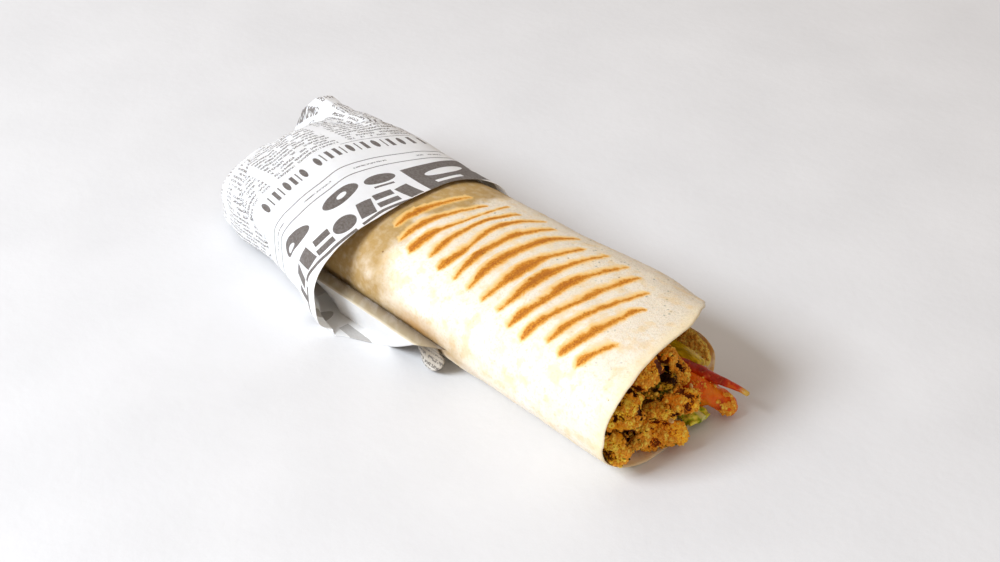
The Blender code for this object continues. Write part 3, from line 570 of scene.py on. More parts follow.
def flatbread_finish():
    """Soft wheat flatbread, griddled: matt, floury and pale, golden where grease and steam reached it, with
    toasted bars that are orange-brown and grainy in a soft golden halo. Painted shade darkens the far side
    and the bread under the paper rim, and a painted golden cream along the rim of the mouth stands for the
    rim's shading and the light through its thin edge."""
    material, tree, shader = new_finish("griddled_wheat_flatbread", Roughness=0.62, IOR=1.45,
                                        Specular_IOR_Level=0.3)
    place = node(tree, "TexCoord", out="Object")
    broad = node(tree, "TexNoise", place, per_metre(22.0), 3.0, at=PATTERN_INPUTS)
    fine = node(tree, "TexNoise", place, per_metre(1.1), 3.0, 0.65, at=PATTERN_INPUTS)
    grain = node(tree, "TexNoise", place, per_metre(0.45), 2.0, 0.6, at=PATTERN_INPUTS)
    dough = node(tree, "ValToRGB", broad, stops=((0.3, "#F3EBDD"), (0.5, "#F0E5D1"),
            (0.7, "#F5EFE5")))
    # Grain of the dough is coarser than the real one, so that it shows.
    mottle = node(tree, "MapRange", fine, 0.48, 0.70, **EASED)
    dough = node(tree, "Mix", node(tree, "Math.MULTIPLY", mottle, 0.46), dough, "#DABE92",
        **COLOUR_MIX)
    # Painted shade with speckle: the far side gets a grey grain and a darker, greyer tint, as if turned from
    # the light.
    greyish = node(tree, "Math.MULTIPLY", node(tree, "MapRange", grain, 0.47, 0.64, **EASED), 0.9)
    dough = node(tree, "Mix", node(tree, "Math.MULTIPLY", greyish,
            node(tree, "Attribute", out="Fac", attribute_name="far_side")), dough, "#A79E84",
        **COLOUR_MIX)
    far_tint = node(tree, "Math.MULTIPLY", node(tree, "Attribute", out="Fac",
            attribute_name="far_side"), 0.62)
    dough = node(tree, "Mix", far_tint, dough, "#E3D6C0", **COLOUR_MIX)
    flecks = node(tree, "Math.MULTIPLY", node(tree, "MapRange",
            node(tree, "TexVoronoi", place, per_metre(2.3), at=PATTERN_INPUTS), 0.24, 0.12,
            **EASED), node(tree, "MapRange", node(tree, "TexNoise", place, per_metre(9.0), 2.0,
                at=PATTERN_INPUTS), 0.46, 0.60, **EASED))
    flecks = node(tree, "Math.MULTIPLY", flecks, node(tree, "Math.ADD", 0.35,
            node(tree, "Attribute", out="Fac", attribute_name="far_side")))
    dough = node(tree, "Mix", node(tree, "Math.MULTIPLY", flecks, 0.85), dough, "#A9A898",
        **COLOUR_MIX)
    blister = node(tree, "Math.MULTIPLY", node(tree, "MapRange",
            node(tree, "TexNoise", place, per_metre(5.0), 2.0, at=PATTERN_INPUTS), 0.50, 0.70, **EASED), 0.42)
    dough = node(tree, "Mix", blister, dough, "#E6C383", **COLOUR_MIX)
    # Grease and steam staining, mixed with painted shadow of the paper rim and painted shade along the near
    # foot.
    stain = node(tree, "Attribute", out="Fac", attribute_name="stain")
    stain = node(tree, "Math.MULTIPLY", stain, node(tree, "Math.ADD",
            node(tree, "Math.MULTIPLY", node(tree, "TexNoise", place, per_metre(3.0), 3.0,
                    at=PATTERN_INPUTS), 0.9), 0.5), use_clamp=True)
    dough = node(tree, "Mix", node(tree, "Math.MULTIPLY", stain, 0.95), dough, "#AE8C50",
        **COLOUR_MIX)
    dough = node(tree, "Mix", node(tree, "Math.MULTIPLY",
            node(tree, "Attribute", out="Fac", attribute_name="browned"), 0.75), dough, "#C08A42",
        **COLOUR_MIX)
    stripe = node(tree, "Attribute", out="Fac", attribute_name="stripe")
    aside = node(tree, "Math.SUBTRACT", stripe, node(tree, "Math.ROUND", stripe))
    # The griddle bar lifts slowly on the tail side of a mark, so the mark is wider there.
    tail_side = node(tree, "Math.LESS_THAN", aside, 0.0)
    wider = node(tree, "Math.ADD", 0.95, node(tree, "Math.MULTIPLY", tail_side, 0.85))
    half = node(tree, "Math.MULTIPLY", node(tree, "Attribute", out="Fac",
            attribute_name="mark_half"), wider)
    edge = node(tree, "Math.MULTIPLY", node(tree, "Math.SUBTRACT",
            node(tree, "Math.ABSOLUTE", aside), half), MARK_PITCH)
    ragged = node(tree, "Math.MULTIPLY", node(tree, "Math.SUBTRACT", fine, 0.5), 1.6)
    edge = node(tree, "Math.ADD", edge, ragged)
    bulges = node(tree, "Math.SUBTRACT", node(tree, "TexNoise", place, per_metre(3.6), 2.0,
            at=PATTERN_INPUTS), 0.5)
    edge = node(tree, "Math.ADD", edge, node(tree, "Math.MULTIPLY", bulges,
            node(tree, "Math.MULTIPLY", wider, 1.3)))
    ragged = node(tree, "Math.MULTIPLY", node(tree, "Math.SUBTRACT", grain, 0.5), 0.7)
    edge = node(tree, "Math.ADD", edge, ragged)
    halo = node(tree, "MapRange", node(tree, "Math.SUBTRACT", edge,
            node(tree, "Math.MULTIPLY", tail_side, 0.9)), 2.2, 0.1, **EASED)
    dough = node(tree, "Mix", node(tree, "Math.MULTIPLY", halo, 0.85), dough, "#EFC67C",
        **COLOUR_MIX)
    halo = node(tree, "MapRange", edge, 1.3, -0.1, **EASED)
    dough = node(tree, "Mix", node(tree, "Math.MULTIPLY", halo, 0.95), dough, "#E0A040",
        **COLOUR_MIX)
    core = node(tree, "MapRange", edge, 0.55, -0.55, **EASED)
    toast = node(tree, "ValToRGB", grain, stops=((0.30, "#96510C"), (0.5, "#C07418"),
            (0.70, "#DC9A34")))
    deep = node(tree, "Math.MULTIPLY", node(tree, "MapRange", edge, -0.6, -1.7, **EASED), 0.55)
    toast = node(tree, "Mix", deep, toast, "#9C5414", **COLOUR_MIX)
    dough = node(tree, "Mix", node(tree, "Math.MULTIPLY", core, 0.95), dough, toast, **COLOUR_MIX)
    # Burnt flour specks, a few to the square centimetre.
    spots = node(tree, "Math.MULTIPLY", node(tree, "MapRange",
            node(tree, "TexVoronoi", place, per_metre(7.0), at=PATTERN_INPUTS), 0.062, 0.038,
            **EASED), 0.75)
    spots = node(tree, "Math.MULTIPLY", spots, node(tree, "MapRange",
            node(tree, "TexNoise", place, per_metre(16.0), 2.0, at=PATTERN_INPUTS), 0.46, 0.56,
            **EASED))
    dough = node(tree, "Mix", spots, dough, "#6B4A22", **COLOUR_MIX)
    # Painted golden cream along the rim of the mouth, for its shading and the light through the thin rim.
    dough = node(tree, "Mix", node(tree, "Math.MULTIPLY",
            node(tree, "Attribute", out="Fac", attribute_name="lip"), 0.6), dough, "#F0DAAC",
        **COLOUR_MIX)
    greased = node(tree, "Math.MULTIPLY", node(tree, "Attribute", out="Fac",
            attribute_name="greased"), node(tree, "MapRange",
            node(tree, "TexNoise", place, per_metre(6.0), 3.0, at=PATTERN_INPUTS), 0.36, 0.62,
            **EASED))
    dough = node(tree, "Mix", node(tree, "Math.MULTIPLY", greased, 0.85), dough, "#CF9838",
        **COLOUR_MIX)
    tree.links.new(dough, shader.inputs["Base Color"])
    sunk = node(tree, "Math.MULTIPLY", core, -0.5)
    height = node(tree, "Math.ADD", node(tree, "Math.MULTIPLY", fine, 1.0), sunk)
    height = node(tree, "Math.ADD", height, node(tree, "Math.MULTIPLY", grain, 0.5))
    tree.links.new(node(tree, "Bump", 0.8, 0.16 * MM, height, at=BUMP_INPUTS),
        shader.inputs["Normal"])
    shader.inputs["Subsurface Weight"].default_value = 0.12
    shader.inputs["Subsurface Radius"].default_value = (1.0, 0.7, 0.4)
    shader.inputs["Subsurface Scale"].default_value = 0.0015
    return material


def make_flatbread():
    """The rolled flatbread, one sheet from its outer flap to its inner edge."""
    skins, fields = bread_skins()
    uv = np.zeros((*skins[0].shape[:2], 2))
    piece = sheet_piece("tortilla_sheet", *skins, flatbread_finish(), uv, fields)
    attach(piece, "root")
    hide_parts("tortilla")
    return skins


# ---------------------------------------------------------------- printed paper sleeve

SLEEVE_THICKNESS = 0.16
SLEEVE_ROWS = (100, 84)
SLEEVE_COLUMNS = (16, 184, 34, 9)
HEM_ROWS = 10
HEM_IN = 4.0
HEM_LIFT = 0.22
PRINT_AT_X = -50.0

# Where the first thin rule runs: places along the wrapped sheet and along the roll, in mm.
RULE_AT = (60.0, 118.0, 128.0, 148.0, 162.0, 172.0, 185.0, 193.0, 200.0, 212.0, 230.0)
RULE_X = (-56.0, -57.6, -59.1, -65.2, -67.8, -67.0, -68.0, -70.2, -72.4, -72.6, -70.0)
# The fold line of the gathered end, past which the small print runs the other way.
FOLD_AT = (60.0, 112.0, 122.0, 132.0, 140.0, 147.0, 160.0, 165.0, 175.0, 189.0, 197.0, 203.0,
           209.0, 230.0)
FOLD_X = (-90.0, -86.0, -86.0, -92.0, -103.0, -107.0, -108.0, -113.0, -110.0, -100.0, -98.0,
          -92.0, -81.0, -78.0)

# Ink shapes: (kind, along the wrap, down from the rule, half length, half height, tilt, paper).
INK_SHAPES = (
    ("bar", 150, 0.0, 75, 0.24, 0, False), ("bar", 150, 6.3, 75, 0.24, 0, False),
    ("bar", 134, -15.2, 16, 0.14, 0, False),
    # A line of tall slim strokes and ovals.
    ("oval", 194.6, -10.5, 1.3, 3.2, 0, False), ("bar", 191.2, -10.5, 0.30, 3.0, 0, False),
    ("bar", 188.0, -10.5, 0.85, 3.0, 0, False), ("bar", 185.4, -10.5, 0.30, 3.0, 0, False),
    ("oval", 182.2, -10.5, 1.2, 3.1, 0, False), ("bar", 178.6, -10.5, 0.85, 3.0, 0, False),
    ("bar", 176.0, -10.5, 0.30, 3.0, 0, False), ("oval", 173.0, -10.6, 1.3, 3.1, 0, False),
    ("oval", 164.8, -10.6, 1.3, 3.1, 0, False), ("bar", 161.6, -10.7, 0.30, 3.0, 0, False),
    ("bar", 158.4, -10.7, 0.85, 3.0, 0, False), ("bar", 154.6, -10.7, 0.85, 3.0, 0, False),
    ("bar", 151.8, -10.7, 0.30, 3.0, 0, False), ("oval", 148.6, -10.7, 1.2, 3.1, 0, False),
    ("bar", 145.2, -10.6, 0.30, 3.0, 0, False), ("bar", 142.0, -10.6, 0.85, 3.0, 0, False),
    ("oval", 137.6, -10.5, 1.3, 3.0, 0, False), ("bar", 134.0, -10.4, 0.30, 3.0, 0, False),
    ("bar", 131.0, -10.4, 0.85, 3.0, 0, False), ("oval", 126.4, -10.3, 1.2, 3.0, 0, False),
    ("bar", 121.5, -10.3, 0.85, 3.0, 0, False), ("bar", 116.0, -10.2, 0.85, 3.0, 0, False),
    # Large ovals, two with a paper eye.
    ("oval", 169.5, 13.3, 9.0, 3.8, 0, False), ("oval", 169.0, 13.3, 2.5, 1.3, 0, True),
    ("oval", 195.0, 14.0, 8.4, 3.6, -8, False), ("oval", 198.5, 14.6, 2.6, 1.2, -8, True),
    ("oval", 151.4, 14.4, 6.6, 3.0, 0, False), ("bar", 151.8, 19.0, 4.2, 0.55, 0, False),
    # Heavy blocks and slabs along the rim.
    ("bar", 146.2, 26.9, 3.0, 4.3, 16, False), ("bar", 155.4, 24.4, 4.0, 1.7, 0, False),
    ("bar", 155.6, 29.4, 4.4, 1.5, 0, False), ("bar", 164.6, 27.0, 3.4, 4.2, -12, False),
    ("oval", 175.0, 26.9, 5.2, 4.2, 0, False), ("bar", 185.2, 24.6, 3.8, 1.7, 0, False),
    ("bar", 185.6, 29.6, 4.2, 1.5, 0, False), ("bar", 194.6, 27.0, 3.2, 4.3, 12, False),
    ("bar", 203.0, 27.0, 2.6, 4.2, -12, False), ("bar", 209.5, 29.0, 1.6, 3.9, 0, False),
    ("oval", 225.0, 28.5, 6.2, 3.0, 0, False), ("bar", 230.6, 42.8, 1.3, 5.0, 0, False),
    ("oval", 230.2, 49.8, 1.7, 5.6, 0, False), ("bar", 220.5, 40.5, 4.8, 0.7, 0, False),
    ("bar", 157.0, 33.0, 13.0, 0.75, 0, False), ("bar", 187.0, 33.3, 14.0, 0.75, 0, False),
    ("bar", 211.0, 33.6, 8.0, 0.75, 0, False),
    # The dark panel at the far side, with paper slots.
    ("bar", 119.0, 18.4, 21.6, 9.2, 8, False), ("oval", 126.0, 17.0, 9.0, 2.2, 8, True),
    ("bar", 128.0, 23.4, 6.0, 0.9, 8, True), ("bar", 108.0, 16.4, 5.0, 1.1, 8, True),
)


def sleeve_skins():
    """The paper as a thin sheet: the wrap's path on a grid of wrapped length and place along
    the roll, crumpled along its normals by ridged noise that grows towards the gathered end,
    and set off half its thickness to either side."""
    stretches = ((0.0, SEAM_SHARE), (SEAM_SHARE, WRAP_SHARE), (WRAP_SHARE, 1.0),
                 (1.0, 1.0 + BAND_SHARE))
    part = np.concatenate([np.linspace(*stretch, count)
                           for stretch, count in zip(stretches, SLEEVE_COLUMNS)])
    folds = [1.0 - FOLD_NEAR, 1.0 + FOLD_NEAR]
    for share in (LOOP_FOOT_SHARE, WALL_FOOT_SHARE):
        fold = WRAP_SHARE + (1.0 - WRAP_SHARE) * share
        folds += [fold - FOLD_NEAR, fold + FOLD_NEAR]
    part = np.unique(np.round(np.concatenate([part, folds]), 9))[None, :]
    rim = eased(np.minimum(part, 1.0), PAPER_RIM_AT, PAPER_RIM_X)
    past = np.clip((part - 1.0) / BAND_SHARE, 0.0, 1.0)
    rim = rim + (BAND_RIM_X - rim) * past
    turn = HUG_FROM + (WRAP_TO - HUG_FROM) * part / WRAP_SHARE
    tail = SLEEVE_X[0] + (EAR_TIP_X - SLEEVE_X[0]) * ear_share(turn)
    rounding = 1.0 - np.cos(np.linspace(0.0, math.pi / 2.0, SLEEVE_ROWS[0]))[:, None]
    rounding = 0.5 * rounding + 0.5 * np.linspace(0.0, 1.0, SLEEVE_ROWS[0])[:, None]
    onward = np.linspace(0.0, 1.0, SLEEVE_ROWS[1])[1:, None]
    x = np.concatenate([tail + (OVERLAP_FROM_X - tail) * rounding,
                        OVERLAP_FROM_X + (rim - OVERLAP_FROM_X) * onward])
    part = part + 0.0 * x
    middle = np.stack([x, *paper_path(part, x)], axis=-1)
    across = np.stack([0.0 * x, *np.subtract(paper_path(np.minimum(part + 0.004, 1.0 + BAND_SHARE),
                    x), paper_path(np.maximum(part - 0.004, 0.0), x))], axis=-1)
    along = np.stack([0.0 * x + 1.0, *np.subtract(paper_path(part, x + 0.5),
                                                  paper_path(part, x - 0.5))], axis=-1)
    normal = np.cross(across, along)
    normal /= np.linalg.norm(normal, axis=-1, keepdims=True) + 1e-9
    # Millimetres along the wrap, measured on the section where it is widest.
    line = np.linspace(0.0, 1.0 + BAND_SHARE, 2001)
    steps = np.stack(paper_path(line, np.full(line.shape, PRINT_AT_X)), axis=-1)
    length = np.concatenate([[0.0], np.cumsum(np.linalg.norm(np.diff(steps, axis=0), axis=1))])
    wrap = np.interp(part, line, length)
    down = x - eased(wrap, RULE_AT, RULE_X)
    past_fold = eased(wrap, FOLD_AT, FOLD_X) - x
    gathered = 1.0 - rise(x, -108.0, -74.0)
    loose = rise(part, 0.30, 0.45) * (1.0 - 0.7 * rise(part, WRAP_SHARE, WRAP_SHARE + 0.03))
    crumple = (0.15 + 0.85 * gathered) * (1.0 - np.abs(noise(middle, 17.0, 41))) ** 2 * 1.5
    crumple = crumple + 0.30 * gathered * layered(middle, 7.0, 42, 2)
    folded = np.exp(-(past_fold / 1.1) ** 2) * (part > SEAM_SHARE) * (part < WRAP_SHARE)
    swell = (0.25 + 0.75 * loose) * (0.30 * layered(middle, 19.0, 43, 2)) - crumple * (0.2 + 0.8
        * loose)
    swell = swell - 0.8 * folded
    edge = 0.16 * noise(middle, 5.0, 44) * (1.0 - rise(rim - x, 0.0, 9.0)) * loose
    middle = middle + normal * (swell + edge)[..., None]
    kept_low = SLEEVE_THICKNESS / 2.0 + 0.01
    middle[..., 2] = np.maximum(middle[..., 2], kept_low)
    # The gathered end is tucked in: it turns down at its edge and runs back inside to the floor.
    hem = np.linspace(1.0, 0.0, HEM_ROWS + 1)[:-1, None]
    low = np.minimum(middle[:1, :, 2] + HEM_LIFT, kept_low + 2.0 * HEM_LIFT)
    tucked = middle[:1] + hem[..., None] * np.array([HEM_IN, 0.0, 0.0])
    tucked[..., 2] += (low - middle[:1, :, 2]) * hem ** 0.7
    middle = np.concatenate([tucked, middle])
    turned_normal = surface_normals(middle)
    turned_normal *= np.sign((turned_normal[HEM_ROWS + 4] * normal[4]).sum())
    normal = np.concatenate([turned_normal[:HEM_ROWS], normal])
    skins = [middle + normal * SLEEVE_THICKNESS / 2.0, middle - normal * SLEEVE_THICKNESS / 2.0]
    between = (part[:-1, :-1] + part[:-1, 1:]) / 2.0
    once = (between > SEAM_SHARE) & (between < WRAP_SHARE)
    once = np.concatenate([once[:1]] * HEM_ROWS + [once])
    beyond = np.arange(len(once))[:, None] >= HEM_ROWS + SLEEVE_ROWS[0] - 1
    past_fold = np.where(wrap < 45.0, 45.0 - wrap, past_fold)
    # Grease with painted shade: the whole band past the ridge, and the corner that curls out near the mouth,
    # which lies in shade.
    stain = np.maximum(rise(part, 1.0, 1.0 + FOLD_NEAR),
                       0.95 * (1.0 - rise(part, 0.03, 0.10)) * rise(x, -16.0, 2.0))
    fields = {"wrap": wrap, "down": down, "past_fold": past_fold, "length": x, "stain": stain,
              "band": past + 0.5 * (1.0 - rise(part, 0.04, 0.12)) * rise(x, -16.0, 0.0)}
    fields = {key: np.concatenate([value[:1] + 0.0 * hem, value]) for key, value in fields.items()}
    fields["length"][:HEM_ROWS] -= HEIGHT / 4.0 * hem
    return skins, {key: (value, value) for key, value in fields.items()}, (once | beyond).ravel()


def ink_shape(tree, flat, shape):
    """1 inside one ink shape: the sheet's own coordinates centred on it, turned and shared by
    its half sizes, then the longer side of the two for a bar or the plain length for an oval."""
    kind, along, down, half_along, half_down, tilt, _ = shape
    own = node(tree, "Mapping", flat, (along, down, 0.0), (0.0, 0.0, math.radians(tilt)),
        (half_along, half_down, 1.0), at=("Vector", "Location", "Rotation", "Scale"),
        vector_type="TEXTURE")
    if kind == "oval":
        return node(tree, "Math.LESS_THAN", node(tree, "VectorMath.LENGTH", own, out="Value"), 1.0)
    size = node(tree, "VectorMath.ABSOLUTE", own)
    longer = node(tree, "Math.MAXIMUM", node(tree, "SeparateXYZ", size),
        node(tree, "SeparateXYZ", size, out=1))
    return node(tree, "Math.LESS_THAN", longer, 1.0)


def small_print(tree, along, across, pitch):
    """Rows of dashes: rows of one pitch, cut into words and strokes by noise along them."""
    counted = node(tree, "Math.DIVIDE", across, pitch)
    row = node(tree, "Math.FLOOR", counted)
    in_row = node(tree, "Math.LESS_THAN", node(tree, "Math.ABSOLUTE",
            node(tree, "Math.SUBTRACT", node(tree, "Math.FRACT", counted), 0.5)), 0.28)
    words = node(tree, "CombineXYZ", node(tree, "Math.DIVIDE", along, 3.4),
        node(tree, "Math.MULTIPLY", row, 7.31))
    word = node(tree, "TexNoise", words, 1.0, 0.0, at=PATTERN_INPUTS, noise_dimensions="2D")
    strokes = node(tree, "CombineXYZ", node(tree, "Math.DIVIDE", along, 0.62),
        node(tree, "Math.DIVIDE", across, 0.55))
    stroke = node(tree, "TexNoise", strokes, 1.0, 0.0, at=PATTERN_INPUTS, noise_dimensions="2D")
    mask = node(tree, "Math.MULTIPLY", in_row, node(tree, "Math.GREATER_THAN", word, 0.37))
    return node(tree, "Math.MULTIPLY", mask, node(tree, "Math.GREATER_THAN", stroke, 0.44))


def newsprint_finish():
    """Thin greaseproof paper, machine-made and offset-printed in warm black: smooth, bright white and matt,
    the ink showing faintly through its back, brown and glassy where grease has got in. Painted shade greys
    its back, darkens the band that leans on the flatbread towards the crevice, and greys the corner that
    curls under it."""
    material, tree, shader = new_finish("printed_greaseproof_paper", Roughness=0.55, IOR=1.47,
                                        Specular_IOR_Level=0.35)
    place = node(tree, "TexCoord", out="Object")
    wrap, down = node(tree, "Attribute", out="Fac", attribute_name="wrap"), node(tree, "Attribute",
        out="Fac", attribute_name="down")
    flat = node(tree, "CombineXYZ", wrap, down)
    ink = None
    for shape in INK_SHAPES:
        mask = ink_shape(tree, flat, shape)
        if ink is None:
            ink = mask
        elif shape[-1]:
            ink = node(tree, "Math.MULTIPLY", ink, node(tree, "Math.SUBTRACT", 1.0, mask))
        else:
            ink = node(tree, "Math.MAXIMUM", ink, mask)
    turned = node(tree, "Math.GREATER_THAN", node(tree, "Attribute", out="Fac",
            attribute_name="past_fold"), 0.0)
    upright = node(tree, "Math.SUBTRACT", 1.0, turned)
    along = node(tree, "Math.ADD", node(tree, "Math.MULTIPLY", wrap, upright),
        node(tree, "Math.MULTIPLY", node(tree, "Attribute", out="Fac", attribute_name="length"),
            turned))
    across = node(tree, "Math.ADD", node(tree, "Math.MULTIPLY", down, upright),
        node(tree, "Math.MULTIPLY", wrap, turned))
    dashes = small_print(tree, along, across, 2.05)
    column = node(tree, "Math.GREATER_THAN", node(tree, "Math.FRACT",
            node(tree, "Math.DIVIDE", node(tree, "Math.ADD", along, 3.0), 37.0)), 0.12)
    dashes = node(tree, "Math.MULTIPLY", dashes, column)
    in_text = node(tree, "Math.MAXIMUM", turned, node(tree, "Math.LESS_THAN", down, -15.9))
    between = node(tree, "Math.LESS_THAN", node(tree, "Math.ABSOLUTE",
            node(tree, "Math.SUBTRACT", down, 3.2)), 0.7)
    line = small_print(tree, wrap, node(tree, "Math.ADD", down, 0.35), 1.43)
    line = node(tree, "Math.MULTIPLY", node(tree, "Math.MULTIPLY", line, between), upright)
    line = node(tree, "Math.MULTIPLY", line, node(tree, "Math.GREATER_THAN",
            node(tree, "Math.FRACT", node(tree, "Math.DIVIDE", wrap, 26.0)), 0.45))
    ink = node(tree, "Math.MULTIPLY", ink, upright)
    ink = node(tree, "Math.MAXIMUM", ink, node(tree, "Math.MULTIPLY",
            node(tree, "Math.MAXIMUM", node(tree, "Math.MULTIPLY", dashes, in_text), line), 0.92))
    printed = node(tree, "Math.MULTIPLY", node(tree, "Math.LESS_THAN", wrap, 234.0), ink)
    # The back shows the print only faintly.
    inside = node(tree, "Attribute", out="Fac", attribute_name="inside")
    strength = node(tree, "Math.SUBTRACT", 0.95, node(tree, "Math.MULTIPLY", inside, 0.42))
    fibre = node(tree, "TexNoise", place, per_metre(0.9), 3.0, at=PATTERN_INPUTS)
    worn = node(tree, "Math.ADD", 0.86, node(tree, "Math.MULTIPLY", fibre, 0.28))
    printed = node(tree, "Math.MULTIPLY", node(tree, "Math.MULTIPLY", printed, strength), worn)
    paper = node(tree, "ValToRGB", node(tree, "TexNoise", place, per_metre(12.0), 3.0,
            at=PATTERN_INPUTS), stops=((0.35, "#F1F0EE"), (0.65, "#F6F5F3")))
    # Painted shade: the back of the sheet, which faces in under the sleeve, is a little greyer and warmer.
    paper = node(tree, "Mix", node(tree, "Math.MULTIPLY", inside, 0.25), paper, "#E4E0D6",
        **COLOUR_MIX)
    # Grease staining with painted shade: the band darkens to deep brown where it meets the flatbread, and the
    # curled corner turns grey-brown as if in shade.
    soaked = node(tree, "Math.MULTIPLY", node(tree, "Attribute", out="Fac",
            attribute_name="stain"), node(tree, "Math.ADD", 0.72,
            node(tree, "Math.MULTIPLY", node(tree, "TexNoise", place, per_metre(4.0), 3.0,
                    at=PATTERN_INPUTS), 0.5)), use_clamp=True)
    fat = node(tree, "ValToRGB", node(tree, "Attribute", out="Fac", attribute_name="band"),
        stops=((0.0, "#D8CCB4"), (0.2, "#9E8E70"), (0.7, "#7E6D53"), (1.0, "#4A3822")))
    paper = node(tree, "Mix", soaked, paper, fat, **COLOUR_MIX)
    paper = node(tree, "Mix", printed, paper, "#5E5651", **COLOUR_MIX)
    tree.links.new(paper, shader.inputs["Base Color"])
    shader.inputs["Subsurface Weight"].default_value = 0.7
    shader.inputs["Subsurface Radius"].default_value = (1.0, 0.95, 0.85)
    shader.inputs["Subsurface Scale"].default_value = 0.0006
    # Fibre is far finer than this; it is drawn coarse enough to break up the light.
    tree.links.new(node(tree, "Bump", 0.5, 0.10 * MM,
            node(tree, "Math.ADD", fibre, node(tree, "Math.MULTIPLY",
                    node(tree, "TexNoise", place, per_metre(7.0), 4.0, at=PATTERN_INPUTS), 3.0)),
            at=BUMP_INPUTS), shader.inputs["Normal"])
    return material


def make_paper():
    """The sleeve, one sheet with its loop, low wall, grease-stained and shaded band and gathered end."""
    skins, fields, kept = sleeve_skins()
    uv = np.zeros((*skins[0].shape[:2], 2))
    piece = sheet_piece("paper_sheet", *skins, newsprint_finish(), uv, fields, kept)
    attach(piece, "root")
    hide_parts("paper_sleeve")


# ---------------------------------------------------------------- fillings

BORDER_Y = 8.5
BORDER_SLOPE = 0.35
FILL_TAIL_X = -78.0
CORE_FRONT_X = 84.0
CORE_FRONT_SLOPE = 0.3
SHELF_Z = 24.0
HUB_Z = 27.0

# Salad layers: floor and top heights deep inside and near the mouth, then the free tip as rows
# of place along X, middle Y, middle Z, half width and half thickness.
LETTUCE = ((4.4, 3.3), (7.6, 6.6))
LETTUCE_TIP = ((84.0, 17.0, 4.6, 7.5, 1.4), (92.0, 15.4, 4.0, 6.2, 1.2),
    (99.5, 13.6, 3.0, 5.4, 0.9))
TOMATO = ((8.0, 7.4), (17.0, 13.8))
TOMATO_TIP = ((74.0, 19.0, 10.2, 7.4, 3.2), (82.0, 20.6, 9.8, 7.2, 3.8),
    (88.0, 21.0, 9.2, 7.6, 5.0), (93.0, 20.8, 8.6, 7.2, 5.4), (97.4, 22.8, 8.0, 4.0, 2.9),
    (101.2, 25.8, 4.6, 3.8, 3.6), (103.5, 26.0, 4.0, 3.0, 2.9))
PICKLE = ((17.4, 19.8), (23.6, 23.6))
PICKLE_TIP = ((72.0, 25.0, 15.2, 3.8, 3.0), (80.0, 25.2, 14.8, 3.8, 3.0),
    (87.0, 25.6, 13.8, 3.4, 2.8))
STRIP = ((68.0, 20.0, 14.8, 2.4, 1.5), (82.0, 20.8, 15.4, 2.7, 1.6), (94.0, 24.8, 14.0, 2.2, 1.5),
         (108.5, 27.8, 12.0, 0.9, 0.8))

# Broken falafel at the mouth, in directions across, up and out of the mouth: centre, half
# sizes in those directions, roll about the way out, squareness, finish and how craggy it is.
MOUTH_FRAME = ((0.682, 0.731, 0.0), (-0.419, 0.391, 0.819), (0.599, -0.559, 0.574))
LUMPS = {
    "golden_upper": ((92.0, -20.5, 21.7), (7.4, 7.4, 6.5), 0, 2.8, "golden", 1.0),
    "golden_lower": ((92.8, -25.4, 12.0), (6.0, 8.8, 5.8), 0, 2.8, "golden", 1.0),
    "golden_foot": ((90.2, -19.0, 5.8), (8.4, 4.4, 4.2), 8, 2.8, "golden", 1.0),
    "golden_small": ((97.4, -15.8, 10.6), (2.8, 3.2, 3.2), 20, 2.4, "golden", 0.8),
    "orange_slab": ((95.6, -5.2, 6.8), (9.9, 6.1, 5.0), 12, 5.0, "crust", 0.35),
    "golden_middle": ((93.6, 3.9, 13.6), (8.9, 4.2, 5.5), 8, 3.0, "bright", 0.8),
    "golden_inner": ((92.6, -2.3, 11.6), (7.2, 3.2, 5.5), 10, 2.6, "golden", 1.0),
    "herb_layer": ((87.6, 1.6, 18.4), (12.6, 4.0, 5.5), 4, 2.8, "herby", 1.0),
    "orange_upper": ((90.0, -7.2, 29.9), (7.2, 3.8, 5.0), 36, 2.8, "bright", 0.9),
    "brown_upper": ((87.0, 10.8, 20.2), (4.0, 6.2, 5.0), 25, 2.6, "brown", 1.0),
    "brown_top": ((86.0, 8.4, 26.2), (2.5, 1.9, 3.4), 10, 2.4, "bright", 0.8),
}
# Hollows between the lumps: centre, half width across and half height.
HOLLOWS = (((96.0, -19.4, 13.6), 2.3, 2.8), ((92.0, 1.2, 28.0), 2.7, 4.0),
    ((92.0, -1.4, 33.0), 1.6, 2.2), ((93.0, -14.1, 27.5), 3.2, 1.8),
    ((95.0, -13.5, 19.6), 1.6, 3.2), ((93.0, -3.1, 21.5), 1.7, 1.0),
    ((93.0, -23.9, 21.7), 0.8, 1.3), ((97.0, 2.0, 11.2), 2.2, 0.7),
    ((96.0, -15.4, 15.3), 1.5, 0.8), ((97.0, -8.0, 13.0), 2.2, 0.6), )
HOLLOW_STEEP = 1.6
LUMP_ROWS = 110
LUMP_SIDES = 160
LUMP_CLEAR = 0.4
LUMP_GAP = 0.1
# The sheet thins towards its rim, so the lumps come nearer to its middle there.
RIM_CLOSER = 1.5
ROUNDING = 9.0


def hollowed(points):
    """How far points sink into the hollows between the lumps, in mm: ellipses seen from
    straight out of the mouth, the wider the deeper, with slopes round a flat middle."""
    across, up, _ = (np.array(way) for way in MOUTH_FRAME)
    deep = np.zeros(points.shape[:-1])
    for centre, half_across, half_up in HOLLOWS:
        away = points - np.array(centre)
        reach = np.hypot(away @ across / half_across, away @ up / half_up)
        reach = reach + 0.35 * noise(points, 1.6, 61)
        deep = np.maximum(deep, HOLLOW_STEEP * min(half_across, half_up)
            * (1.0 - rise(reach, 0.35, 1.3)))
    return deep


